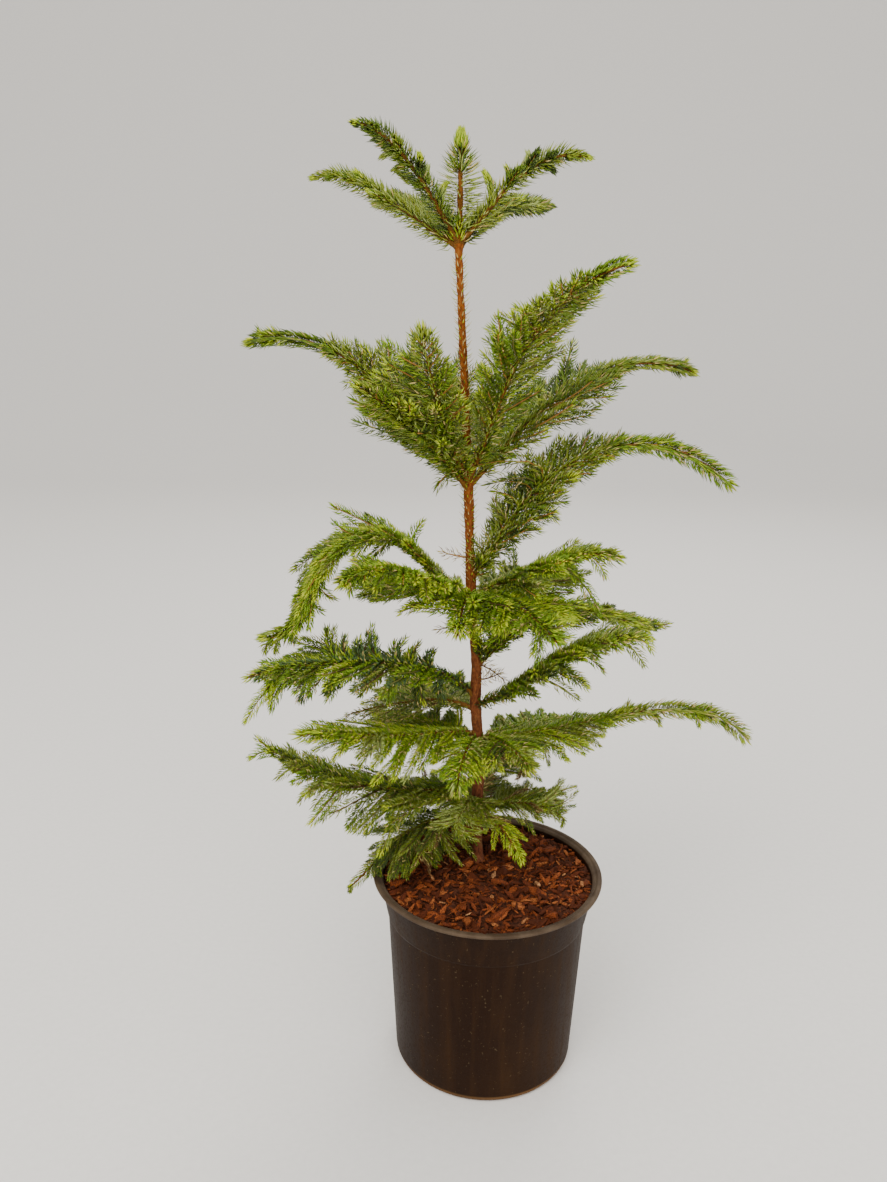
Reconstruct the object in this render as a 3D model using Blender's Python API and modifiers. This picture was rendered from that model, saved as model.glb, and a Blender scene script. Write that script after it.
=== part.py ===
"""A young Norfolk Island pine, about 0.6 m tall, in a 200 mm plastic nursery pot topped with bark mulch.

The frame is in metres, +Z up, with its origin at the centre of the pot's flat underside. The side that
the plant shows best faces -Y. Azimuths are in degrees, counted from +X towards +Y.
"""

from collections import namedtuple
import math

import bmesh
import bpy
import numpy as np

# Gap between pieces that touch on the real plant
GAP = 0.0003
MERGE_DISTANCE = 0.00005

# Edges sharper than this, in degrees, are left unsmoothed
SHARP_ANGLE = 60

# Each finish: its base colour and its roughness
FINISHES = {
    "pot_plastic": ((0.032, 0.024, 0.019), 0.5),
    "bark_mulch": ((0.16, 0.055, 0.028), 0.9),
    "bark": ((0.21, 0.085, 0.035), 0.85),
    "needles": ((0.10, 0.19, 0.035), 0.6),
}

# Pot, a turned shell with a rolled lip, a collar and a wall that narrows to the foot
POT_SIDES = 28
POT_LIP_RADIUS = 0.100
POT_LIP_WIDTH = 0.0047
POT_LIP_DEPTH = 0.0032
POT_HEIGHT = 0.176
POT_WALL = 0.0016
POT_FLOOR = 0.004
POT_FLOOR_ROUND = 0.003
LIP_ROUND = 0.0012
COLLAR_RADIUS = 0.0935
COLLAR_FOOT_RADIUS = 0.0876
COLLAR_FOOT = 0.140
WALL_TOP = 0.1385
WALL_TOP_RADIUS = 0.0866
WALL_FOOT_RADIUS = 0.079
FOOT_ROUND = 0.005
DRAIN_HOLES = 6
DRAIN_HOLE_RADIUS = 0.005
DRAIN_CIRCLE_RADIUS = 0.052
DRAIN_SIDES = 10

# Mulch bed, level at the wall and mounded to the trunk's foot
MULCH_EDGE_HEIGHT = 0.170
MULCH_MOUND_HEIGHT = 0.172
MULCH_FLAT_RADIUS = 0.009
MULCH_RING_SHARES = (0.3, 0.65, 1.0)

# Trunk centre line: height, X place and radius at the foot, the whorls and the tip
TRUNK_BEVEL_RESOLUTION = 2
LIMB_BEVEL_RESOLUTION = 1
TRUNK_DEPTH = 0.020
TRUNK_FOOT = (MULCH_MOUND_HEIGHT + GAP, -0.0075, 0.0062)
TRUNK_WHORLS = (
    (0.179, -0.0075, 0.0048),
    (0.200, -0.0090, 0.0045),
    (0.224, -0.0100, 0.0050),
    (0.262, -0.0087, 0.0049),
    (0.290, -0.0100, 0.0047),
    (0.322, -0.0133, 0.0047),
    (0.358, -0.0130, 0.0044),
    (0.390, -0.0160, 0.0040),
    (0.423, -0.0190, 0.0044),
    (0.466, -0.0212, 0.0036),
    (0.511, -0.0230, 0.0041),
    (0.530, -0.0243, 0.0034),
    (0.565, -0.0262, 0.0032),
    (0.603, -0.0283, 0.0030),
    (0.650, -0.0315, 0.0027),
    (0.688, -0.0340, 0.0028),
    (0.696, -0.0343, 0.0034),
    (0.706, -0.0340, 0.0025),
    (0.740, -0.0338, 0.0020),
)
TRUNK_TIP = (0.772, -0.0338, 0.0010)

# Foliage. The neck is where a mass starts, and the waves are the ripples of its edges and its thickness
SPRAY_RADIUS = 0.0068
TIP_RADIUS = 0.0022
TIP_SHARE = 0.14
TIP_CAP = 0.015
NECK_RADIUS = 0.0022
NECK_LENGTH = 0.012
STATIONS = 10
RING_POINTS = 8
UNEVENNESS = 0.16
LEFT_WAVES, RIGHT_WAVES, THICKNESS_WAVES = 19, 23, 29
WAVE_SHIFT = 2.4
WHORL_DEPTH = 0.013
WIDEST_SHARE = 75

# Needles round the leading shoot: the profile's radii, as parts of the widest, at parts of the length
LEADER_RADIUS = 0.0135
LEADER_FOOT = 0.712
LEADER_TIP = 0.783
LEADER_SIDES = 12
LEADER_BORE_STEP = 0.030
LEADER_OUTLINE = ((0, 0.55), (0.18, 0.9), (0.5, 1.0), (0.75, 0.95), (0.94, 0.6))

# Limbs. A limb starts clear of the bark, within this first share of its length
LIMB_RADIUS = 0.0021
LIMB_END_RADIUS = 0.0014
LIMB_POINTS = 6
NEAREST_SHARE = 0.3
NEAREST_STEPS = 600

# One row for each bough. height: where it leaves the trunk. azimuth: the way it points. length: along
# its curve. rise: its angle above the level at the trunk, at one third, at two thirds and at the tip.
# left and right: how far the side shoots reach. bare: the stretch with no needles. crest: where the side
# shoots reach furthest, and tail: where they end, as parts of the length. droop: how far the side shoots
# sag, as a part of their reach. limb: whether the bare stretch is a limb of its own. roll: how far the fan
# is turned, its left edge up.
COLUMNS = "name height azimuth length rise left right bare crest tail droop limb roll"
Bough = namedtuple("Bough", COLUMNS, defaults=(False, 0))
BOUGH_ROWS = (
    ("top_left", 0.694, 168, 0.135, (33, 32, 24, -28), 0.018, 0.02, 0.02, 0.5, 0.85, 0, True),
    ("top_front_left", 0.697, -137, 0.132, (49, 46, 32, -10), 0.02, 0.018, 0.02, 0.5, 0.85, 0, True),
    ("top_right", 0.698, -22, 0.125, (37, 46, 22, -27), 0.02, 0.02, 0.02, 0.5, 0.85, 0, True),
    ("top_back_right", 0.693, 42, 0.12, (50, 28, 5, 10), 0.018, 0.018, 0.02, 0.5, 0.85, 0, True),
    ("top_back_left", 0.693, 122, 0.152, (36, 25, 6, 6), 0.018, 0.018, 0.02, 0.5, 0.85, 0, True),
    ("second_left", 0.516, 173, 0.226, (29, 50, 24, -20), 0.052, 0.020, 0.026, 0.30, 0.68, 0, True, 58),
    ("second_front_left", 0.508, -136, 0.152, (45, 42, 32, 27), 0.034, 0.056, 0.026, 0.55, 0.9, 0, True),
    ("second_front", 0.514, -111, 0.165, (39, 46, 53, 68), 0.018, 0.048, 0.026, 0.6, 0.95, 0, True),
    ("second_front_right", 0.515, -50, 0.242, (59, 61, 38, 7), 0.034, 0.028, 0.026, 0.5, 0.88, 0, True),
    ("second_right", 0.511, 20, 0.243, (43, 40, 13, -22), 0.038, 0.040, 0.026, 0.45, 0.7, 0, True, 10),
    ("second_back", 0.505, 98, 0.15, (42, 38, 30, 20), 0.045, 0.045, 0.022, 0.5, 0.88, 0),
    ("third_right", 0.433, 5, 0.279, (55, 46, -1, -42), 0.032, 0.030, 0.026, 0.30, 0.62, 0.1, True, 25),
    ("third_left", 0.424, -165, 0.236, (-2, 29, -62, 26), 0.036, 0.034, 0.03, 0.55, 0.93, 0.3, True),
    ("third_front_left", 0.423, -132, 0.158, (2, 27, 12, -20), 0.04, 0.046, 0.022, 0.5, 0.85, 0.3),
    ("third_front", 0.416, -98, 0.1, (30, 10, -15, -35), 0.05, 0.05, 0.022, 0.55, 0.92, 0.2),
    ("third_low_right", 0.417, -60, 0.128, (19, 7, -12, -19), 0.046, 0.046, 0.022, 0.55, 0.92, 0.2),
    ("third_front_right", 0.42, -25, 0.139, (24, 30, 20, -24), 0.044, 0.052, 0.024, 0.55, 0.92, 0.2, True),
    ("third_back_right", 0.419, 50, 0.16, (4, 0, -5, -8), 0.045, 0.045, 0.022, 0.5, 0.9, 0.1),
    ("third_back_left", 0.418, 130, 0.16, (0, -6, -10, -14), 0.045, 0.045, 0.022, 0.5, 0.9, 0.1),
    ("fourth_right", 0.357, 20, 0.208, (42, 18, -17, 6), 0.03, 0.034, 0.03, 0.6, 0.92, 0.2, True),
    ("fifth_right", 0.323, -24, 0.174, (17, 42, 27, 2), 0.04, 0.044, 0.016, 0.55, 0.92, 0.2, True),
    ("fifth_left", 0.328, -158, 0.213, (56, 15, 4, -18), 0.05, 0.05, 0.028, 0.6, 0.95, 0.2, True),
    ("fifth_back_left", 0.317, 168, 0.12, (31, -7, -16, -23), 0.036, 0.036, 0.022, 0.55, 0.92, 0.2),
    ("fifth_back", 0.317, 118, 0.165, (-5, -10, -10, -12), 0.05, 0.05, 0.022, 0.55, 0.92, 0.1),
    ("sixth_left", 0.296, -148, 0.175, (17, 9, 15, 3), 0.046, 0.048, 0.022, 0.55, 0.9, 0.4),
    ("sixth_front_left", 0.288, -105, 0.091, (33, 7, -25, -68), 0.03, 0.03, 0.022, 0.5, 0.9, 0.4),
    ("sixth_right", 0.29, 5, 0.255, (5, 11, 1, -62), 0.028, 0.030, 0.022, 0.27, 0.48, 0.3),
    ("sixth_front_right", 0.289, -60, 0.087, (35, 11, -6, -35), 0.034, 0.034, 0.022, 0.5, 0.9, 0.3),
    ("sixth_back_right", 0.289, 48, 0.16, (0, -8, -12, -15), 0.04, 0.04, 0.022, 0.55, 0.92, 0.2),
    ("sixth_back_left", 0.288, 128, 0.165, (0, -8, -12, -14), 0.042, 0.042, 0.022, 0.55, 0.92, 0.2),
    ("seventh_left", 0.256, -165, 0.213, (-30, 11, 26, 50), 0.05, 0.05, 0.024, 0.5, 0.9, 0.3),
    ("seventh_right", 0.26, 25, 0.071, (49, 12, -34, -55), 0.022, 0.024, 0.022, 0.5, 0.85, 0.4),
    ("seventh_back", 0.253, 82, 0.14, (-10, -14, -14, -14), 0.042, 0.042, 0.022, 0.55, 0.92, 0.2),
    ("eighth_left", 0.219, -160, 0.137, (2, -12, -42, -30), 0.04, 0.04, 0.022, 0.5, 0.82, 0.2),
    ("eighth_front_left", 0.231, -112, 0.060, (42, 8, -16, -34), 0.026, 0.026, 0.015, 0.5, 0.88, 0.2),
    ("eighth_front_right", 0.225, -62, 0.086, (25, -5, -20, -61), 0.015, 0.015, 0.02, 0.5, 0.85, 0.3),
    ("eighth_right", 0.222, -18, 0.087, (29, 16, -5, -48), 0.03, 0.026, 0.02, 0.55, 0.9, 0.3),
    ("eighth_back_right", 0.225, 28, 0.112, (5, -5, -1, -1), 0.03, 0.03, 0.02, 0.45, 0.8, 0.1),
    ("eighth_back", 0.222, 82, 0.115, (-5, -6, -10, -12), 0.04, 0.04, 0.022, 0.55, 0.9, 0.2),
    ("eighth_back_left", 0.222, 140, 0.115, (5, 0, -8, -15), 0.04, 0.04, 0.022, 0.55, 0.9, 0.2),
)
BOUGHS = [Bough(*row) for row in BOUGH_ROWS]


def trunk_stations():
    """Heights, X places and radii from the foot to the tip, as three arrays. The first stretch is upright."""
    return np.array((TRUNK_FOOT, *TRUNK_WHORLS, TRUNK_TIP)).T


def trunk_centre(height):
    """The point of the trunk's centre line at a height, or a row of points for an array of heights."""
    heights, lean, _ = trunk_stations()
    height = np.asarray(height, float)
    return np.stack([np.interp(height, heights, lean), np.full_like(height, TRUNK_DEPTH), height], -1)


def trunk_radius(height):
    """The trunk's radius at a height, on straight tapers between the stations."""
    heights, _, radii = trunk_stations()
    return np.interp(height, heights, radii)


def rise_along(bough, part):
    """The angle above the level at parts of the length: the cubic through the four stated angles."""
    knots = np.linspace(0.0, 1.0, 4)
    total = np.zeros_like(part)
    for i, angle in enumerate(bough.rise):
        others = np.delete(knots, i)
        total += angle * np.prod([(part - k) / (knots[i] - k) for k in others], axis=0)
    return np.radians(total)


def bough_line(bough, steps=60):
    """Parts of the length, points and headings of the bough's curve, summed from its rise angles."""
    part = np.linspace(0.0, 1.0, steps + 1)
    rise = rise_along(bough, part)
    turn = math.radians(bough.azimuth)
    heading = np.stack([np.cos(rise) * math.cos(turn), np.cos(rise) * math.sin(turn), np.sin(rise)], 1)
    step = (heading[1:] + heading[:-1]) / 2 * bough.length / steps
    points = trunk_centre(bough.height) + np.vstack([np.zeros(3), np.cumsum(step, axis=0)])
    return part, points, heading


def along(bough, wanted):
    """Points and headings of the bough's curve at the wanted parts of its length."""
    part, points, heading = bough_line(bough)
    place = np.stack([np.interp(wanted, part, points[:, k]) for k in range(3)], 1)
    way = np.stack([np.interp(wanted, part, heading[:, k]) for k in range(3)], 1)
    return place, way / np.linalg.norm(way, axis=1, keepdims=True)


def stem_start(bough, radius):
    """The part of the length where a stem of this radius first stands clear of the trunk's bark."""
    part = np.linspace(0.0, NEAREST_SHARE, NEAREST_STEPS)
    place, way = along(bough, part)
    out = np.linalg.norm(place - trunk_centre(place[:, 2]), axis=1)
    clear = out - trunk_radius(place[:, 2]) - radius * np.abs(way[:, 2])
    return part[np.argmax(clear > GAP)]


def fan_shape(bough, part):
    """How full the fan is, 0 to 1: a sine arch from the end of the bare stretch, widest at the crest."""
    first = bough.bare / bough.length
    across = np.clip((part - first) / (bough.tail - first), 0.0, 1.0)
    crest = (bough.crest - first) / (bough.tail - first)
    return np.sin(math.pi * across ** (math.log(0.5) / math.log(crest)))


def smooth_step(x):
    """0 below 0, 1 above 1, and an even S curve between them."""
    x = np.clip(x, 0.0, 1.0)
    return x * x * (3 - 2 * x)


def share_of_whorl(bough, way_round):
    """The tangent of half the angle to the next bough of the same whorl, to the left (1) or right (-1)."""
    others = [b for b in BOUGHS if b is not bough and abs(b.height - bough.height) < WHORL_DEPTH]
    between = min((way_round * (b.azimuth - bough.azimuth)) % 360 for b in others) if others else 180
    return math.tan(math.radians(min(between / 2, WIDEST_SHARE)))


def station_parts(bough):
    """Where the rings stand, as parts of the length: the neck, even steps along the fan, and the tip."""
    first = bough.bare / bough.length
    neck = [first + GAP / bough.length] if bough.limb else [stem_start(bough, NECK_RADIUS), first]
    fan = np.linspace(first, 1.0 - TIP_CAP, STATIONS - len(neck))[1:]
    return np.concatenate([neck, fan, [1.0]])


def foliage_rings(bough, index):
    """Rings of the mass: flattened ovals across the bough's curve, with sagging, uneven edges.

    Each edge stops short of the plane half way to the next bough of the whorl.
    """
    part = station_parts(bough)
    place, way = along(bough, part)
    turn = math.radians(bough.azimuth)
    roll = math.radians(bough.roll)
    level = np.array((-math.sin(turn), math.cos(turn), 0.0))
    phase = WAVE_SHIFT * index
    swell = smooth_step((part - part[0]) * bough.length / NECK_LENGTH)
    close = 1 - smooth_step((part - 1 + TIP_SHARE) / TIP_SHARE)
    body = TIP_RADIUS + (NECK_RADIUS + (SPRAY_RADIUS - NECK_RADIUS) * swell - TIP_RADIUS) * close
    thick = body * (1 + 0.5 * UNEVENNESS * np.sin(THICKNESS_WAVES * part + phase))
    fan = fan_shape(bough, part)
    left = body + bough.left * fan * (1 + UNEVENNESS * np.sin(LEFT_WAVES * part + phase))
    right = body + bough.right * fan * (1 + UNEVENNESS * np.sin(RIGHT_WAVES * part - phase))
    out = np.linalg.norm((place - trunk_centre(bough.height))[:, :2], axis=1) - thick * np.abs(way[:, 2])
    left = np.minimum(left, out * share_of_whorl(bough, 1) - 2 * GAP)
    right = np.minimum(right, out * share_of_whorl(bough, -1) - 2 * GAP)
    angle = np.arange(RING_POINTS) * 2 * math.pi / RING_POINTS
    rings = []
    for k in range(len(part)):
        side = level * math.cos(roll) + np.cross(way[k], level) * math.sin(roll)
        up = np.cross(way[k], side)
        across = np.cos(angle) * np.where(np.cos(angle) > 0, left[k], right[k])
        ring = place[k] + np.outer(across, side) + np.outer(np.sin(angle) * thick[k], up)
        ring[:, 2] -= bough.droop * across**2 / max(bough.left, bough.right)
        rings.append(ring)
    return rings


def material(name):
    """The named finish, made once."""
    made = bpy.data.materials.get(name)
    if made:
        return made
    colour, roughness = FINISHES[name]
    made = bpy.data.materials.new(name)
    made.use_nodes = True
    shader = made.node_tree.nodes["Principled BSDF"]
    shader.inputs["Base Color"].default_value = (*colour, 1.0)
    shader.inputs["Roughness"].default_value = roughness
    shader.inputs["Metallic"].default_value = 0.0
    made.diffuse_color = (*colour, 1.0)
    return made


def place_object(name, data, finish, collection):
    made = bpy.data.objects.new(name, data)
    data.materials.append(material(finish))
    collection.objects.link(made)
    return made


def loft(name, rings, finish, collection):
    """A closed skin over rings of equal point counts, with a fan of faces over each end."""
    shape = bmesh.new()
    rows = [[shape.verts.new(point) for point in ring] for ring in rings]
    for low, high in zip(rows, rows[1:]):
        for k in range(len(low)):
            after = (k + 1) % len(low)
            shape.faces.new((low[k], low[after], high[after], high[k]))
    for row, ring in ((rows[0], rings[0]), (rows[-1], rings[-1])):
        middle = shape.verts.new(ring.mean(axis=0))
        for k in range(len(row)):
            shape.faces.new((row[k], row[(k + 1) % len(row)], middle))
    bmesh.ops.recalc_face_normals(shape, faces=shape.faces)
    mesh = bpy.data.meshes.new(name)
    shape.to_mesh(mesh)
    shape.free()
    mesh.shade_smooth()
    mesh.set_sharp_from_angle(angle=math.radians(SHARP_ANGLE))
    place_object(name, mesh, finish, collection)


def turned(name, profile, sides, finish, collection, centre=(0.0, 0.0)):
    """A turned solid: the profile of radius and height, swept round the vertical through the centre."""
    mesh = bpy.data.meshes.new(name)
    mesh.from_pydata([(r, 0.0, z) for r, z in profile], [(k, k + 1) for k in range(len(profile) - 1)], [])
    made = place_object(name, mesh, finish, collection)
    made.location = (centre[0], centre[1], 0.0)
    screw = made.modifiers.new("turn", "SCREW")
    screw.steps = screw.render_steps = sides
    screw.use_merge_vertices = True
    screw.merge_threshold = MERGE_DISTANCE
    screw.use_smooth_shade = True
    return made


def tube(name, points, radii, resolution, finish, collection):
    """A tapering limb: a round bevel along the points, with the radius at each point."""
    curve = bpy.data.curves.new(name, "CURVE")
    curve.dimensions = "3D"
    curve.bevel_depth = 1.0
    curve.bevel_resolution = resolution
    curve.use_fill_caps = True
    curve.twist_mode = "MINIMUM"
    spline = curve.splines.new("POLY")
    spline.points.add(len(points) - 1)
    for point, centre, radius in zip(spline.points, points, radii):
        point.co = (*centre, 1.0)
        point.radius = radius
    place_object(name, curve, finish, collection)


def wall_radius(height):
    """The pot wall's outer radius at a height below the collar."""
    share = (height - FOOT_ROUND) / (WALL_TOP - FOOT_ROUND)
    return WALL_FOOT_RADIUS + share * (WALL_TOP_RADIUS - WALL_FOOT_RADIUS)


def pot_inside():
    """Radius and height of the pot's inner face, from the floor up to the lip."""
    round_top = POT_FLOOR + POT_FLOOR_ROUND
    return [
        (wall_radius(POT_FLOOR) - POT_WALL - POT_FLOOR_ROUND, POT_FLOOR),
        (wall_radius(round_top) - POT_WALL, round_top),
        (WALL_TOP_RADIUS - POT_WALL, WALL_TOP),
        (COLLAR_FOOT_RADIUS - POT_WALL, COLLAR_FOOT),
        (COLLAR_RADIUS - POT_WALL, POT_HEIGHT - POT_LIP_DEPTH / 2),
    ]


def pot_profile():
    """The shell's section: inner floor, inner wall, lip, outer wall, rounded foot and flat underside."""
    lip_inner = POT_LIP_RADIUS - POT_LIP_WIDTH
    lip = [
        (lip_inner, POT_HEIGHT - LIP_ROUND),
        (lip_inner + LIP_ROUND, POT_HEIGHT),
        (POT_LIP_RADIUS - LIP_ROUND, POT_HEIGHT),
        (POT_LIP_RADIUS, POT_HEIGHT - LIP_ROUND),
        (POT_LIP_RADIUS, POT_HEIGHT - POT_LIP_DEPTH),
        (COLLAR_RADIUS, POT_HEIGHT - POT_LIP_DEPTH - LIP_ROUND / 2),
    ]
    outside = [
        (COLLAR_FOOT_RADIUS, COLLAR_FOOT),
        (WALL_TOP_RADIUS, WALL_TOP),
        (WALL_FOOT_RADIUS, FOOT_ROUND),
        (WALL_FOOT_RADIUS - 0.3 * FOOT_ROUND, 0.3 * FOOT_ROUND),
        (WALL_FOOT_RADIUS - FOOT_ROUND, 0.0),
        (0.0, 0.0),
    ]
    return [(0.0, POT_FLOOR)] + pot_inside() + lip + outside


def build_pot(collection, cutters):
    """The shell, with a ring of drain holes cut through its floor."""
    pot = turned("pot", pot_profile(), POT_SIDES, "pot_plastic", collection)
    for k in range(DRAIN_HOLES):
        turn = 2 * math.pi * (k + 0.5) / DRAIN_HOLES
        place = (DRAIN_CIRCLE_RADIUS * math.cos(turn), DRAIN_CIRCLE_RADIUS * math.sin(turn), POT_FLOOR / 2)
        bpy.ops.mesh.primitive_cylinder_add(
            vertices=DRAIN_SIDES, radius=DRAIN_HOLE_RADIUS, depth=3 * POT_FLOOR, location=place
        )
        cutter = bpy.context.object
        cutter.name = f"drain_cutter_{k + 1}"
        cutter.hide_render = True
        cutter.display_type = "WIRE"
        for held in list(cutter.users_collection):
            held.objects.unlink(cutter)
        cutters.objects.link(cutter)
        cut = pot.modifiers.new(f"drain_{k + 1}", "BOOLEAN")
        cut.operation = "DIFFERENCE"
        cut.object = cutter


def build_mulch(collection):
    """The filling: rings on the pot's facets, whose centres drift to the trunk's foot as they rise."""
    turn = np.arange(POT_SIDES) * 2 * math.pi / POT_SIDES
    circle = np.stack([np.cos(turn), np.sin(turn), np.zeros(POT_SIDES)], 1)
    radii, heights = np.array(pot_inside()).T
    edge = float(np.interp(MULCH_EDGE_HEIGHT, heights, radii)) - GAP
    sides = [(radius - GAP, height + GAP) for radius, height in zip(radii[:-1], heights[:-1])]
    sides.append((edge, MULCH_EDGE_HEIGHT))
    rings = [circle * radius + (0.0, 0.0, height) for radius, height in sides]
    foot = trunk_centre(MULCH_MOUND_HEIGHT)
    for share in MULCH_RING_SHARES:
        radius = edge + share * (MULCH_FLAT_RADIUS - edge)
        height = MULCH_EDGE_HEIGHT + (MULCH_MOUND_HEIGHT - MULCH_EDGE_HEIGHT) * float(smooth_step(share))
        rings.append(circle * radius + (share * foot[0], share * foot[1], height))
    loft("mulch", rings, "bark_mulch", collection)


def build_trunk(collection):
    heights, _, radii = trunk_stations()
    tube("trunk", trunk_centre(heights), radii, TRUNK_BEVEL_RESOLUTION, "bark", collection)


def build_leader(collection):
    """The needles round the leading shoot: a turned cup whose bore clears the trunk's last stretch."""
    bore_top = TRUNK_TIP[0] + GAP
    bore_step = TRUNK_TIP[0] - LEADER_BORE_STEP
    bore = [
        (0.0, bore_top),
        (TRUNK_TIP[2] + GAP, bore_top),
        (float(trunk_radius(bore_step)) + GAP, bore_step),
        (float(trunk_radius(LEADER_FOOT)) + GAP, LEADER_FOOT),
    ]
    length = LEADER_TIP - LEADER_FOOT
    outside = [(LEADER_RADIUS * width, LEADER_FOOT + length * part) for part, width in LEADER_OUTLINE]
    profile = bore + outside + [(0.0, LEADER_TIP)]
    centre = trunk_centre(LEADER_TIP)
    turned("foliage_leader", profile[::-1], LEADER_SIDES, "needles", collection, centre[:2])


def build_bough(bough, index, collection):
    """The bough's bare limb, where it has one of its own, and its mass of needles."""
    if bough.limb:
        start = stem_start(bough, LIMB_RADIUS)
        place, _ = along(bough, np.linspace(start, bough.bare / bough.length, LIMB_POINTS))
        radii = np.linspace(LIMB_RADIUS, LIMB_END_RADIUS, LIMB_POINTS)
        tube(f"bough_{bough.name}", place, radii, LIMB_BEVEL_RESOLUTION, "bark", collection)
    loft(f"foliage_{bough.name}", foliage_rings(bough, index), "needles", collection)


def main():
    for old in list(bpy.data.objects):
        bpy.data.objects.remove(old, do_unlink=True)
    collection = bpy.data.collections.new("potted_norfolk_island_pine")
    cutters = bpy.data.collections.new("cutters")
    bpy.context.scene.collection.children.link(collection)
    bpy.context.scene.collection.children.link(cutters)
    build_pot(collection, cutters)
    build_mulch(collection)
    build_trunk(collection)
    build_leader(collection)
    for index, bough in enumerate(BOUGHS):
        build_bough(bough, index, collection)


main()
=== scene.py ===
import math
from collections import namedtuple

import bpy
import numpy as np
from mathutils import Matrix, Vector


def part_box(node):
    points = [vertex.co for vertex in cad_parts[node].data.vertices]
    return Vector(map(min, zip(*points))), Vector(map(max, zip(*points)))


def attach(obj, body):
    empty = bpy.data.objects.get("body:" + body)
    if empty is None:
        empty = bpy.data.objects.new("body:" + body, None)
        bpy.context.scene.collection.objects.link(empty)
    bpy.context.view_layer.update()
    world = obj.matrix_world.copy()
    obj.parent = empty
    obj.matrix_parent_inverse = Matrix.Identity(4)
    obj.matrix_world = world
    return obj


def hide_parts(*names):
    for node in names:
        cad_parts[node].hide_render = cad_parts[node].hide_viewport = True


# The potted Norfolk Island pine in its finished state: bark, side shoots, needles, pot and bark chips.
# Metres, +Z up, origin at the centre of the pot's flat underside. Azimuths are in degrees from +X to +Y.

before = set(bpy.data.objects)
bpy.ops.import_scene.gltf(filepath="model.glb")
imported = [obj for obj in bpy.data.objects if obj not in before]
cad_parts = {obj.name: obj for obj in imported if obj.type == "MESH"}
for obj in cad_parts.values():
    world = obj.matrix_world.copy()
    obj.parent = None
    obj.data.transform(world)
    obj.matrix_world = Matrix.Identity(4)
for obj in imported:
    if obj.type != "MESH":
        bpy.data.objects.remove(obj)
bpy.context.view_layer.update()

# Photograph's camera: its place, its turn down and its roll in degrees, and its focal length in pixels
PHOTO_SIZE = (887, 1182)
FOCAL_PIXELS = 1000.0
CAMERA_PLACE = (-0.042, -0.782, 0.646)
CAMERA_DOWN = 15.52
CAMERA_ROLL = 0.84
SENSOR = 36.0

# Trunk: height, X place and radius, from its foot to its tip
TRUNK_DEPTH = 0.020
TRUNK_FOOT_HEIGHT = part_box("trunk")[0][2]
TRUNK_ROWS = (
    (TRUNK_FOOT_HEIGHT, -0.0075, 0.0062),
    (0.179, -0.0075, 0.0048),
    (0.200, -0.0090, 0.0045),
    (0.224, -0.0100, 0.0050),
    (0.262, -0.0087, 0.0049),
    (0.290, -0.0100, 0.0047),
    (0.322, -0.0133, 0.0047),
    (0.358, -0.0130, 0.0044),
    (0.390, -0.0160, 0.0040),
    (0.423, -0.0190, 0.0044),
    (0.466, -0.0212, 0.0036),
    (0.511, -0.0230, 0.0041),
    (0.530, -0.0243, 0.0034),
    (0.565, -0.0262, 0.0032),
    (0.603, -0.0283, 0.0030),
    (0.650, -0.0315, 0.0027),
    (0.688, -0.0340, 0.0028),
    (0.696, -0.0343, 0.0034),
    (0.706, -0.0340, 0.0025),
    (0.740, -0.0338, 0.0020),
    (0.772, -0.0338, 0.0010),
)

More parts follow.
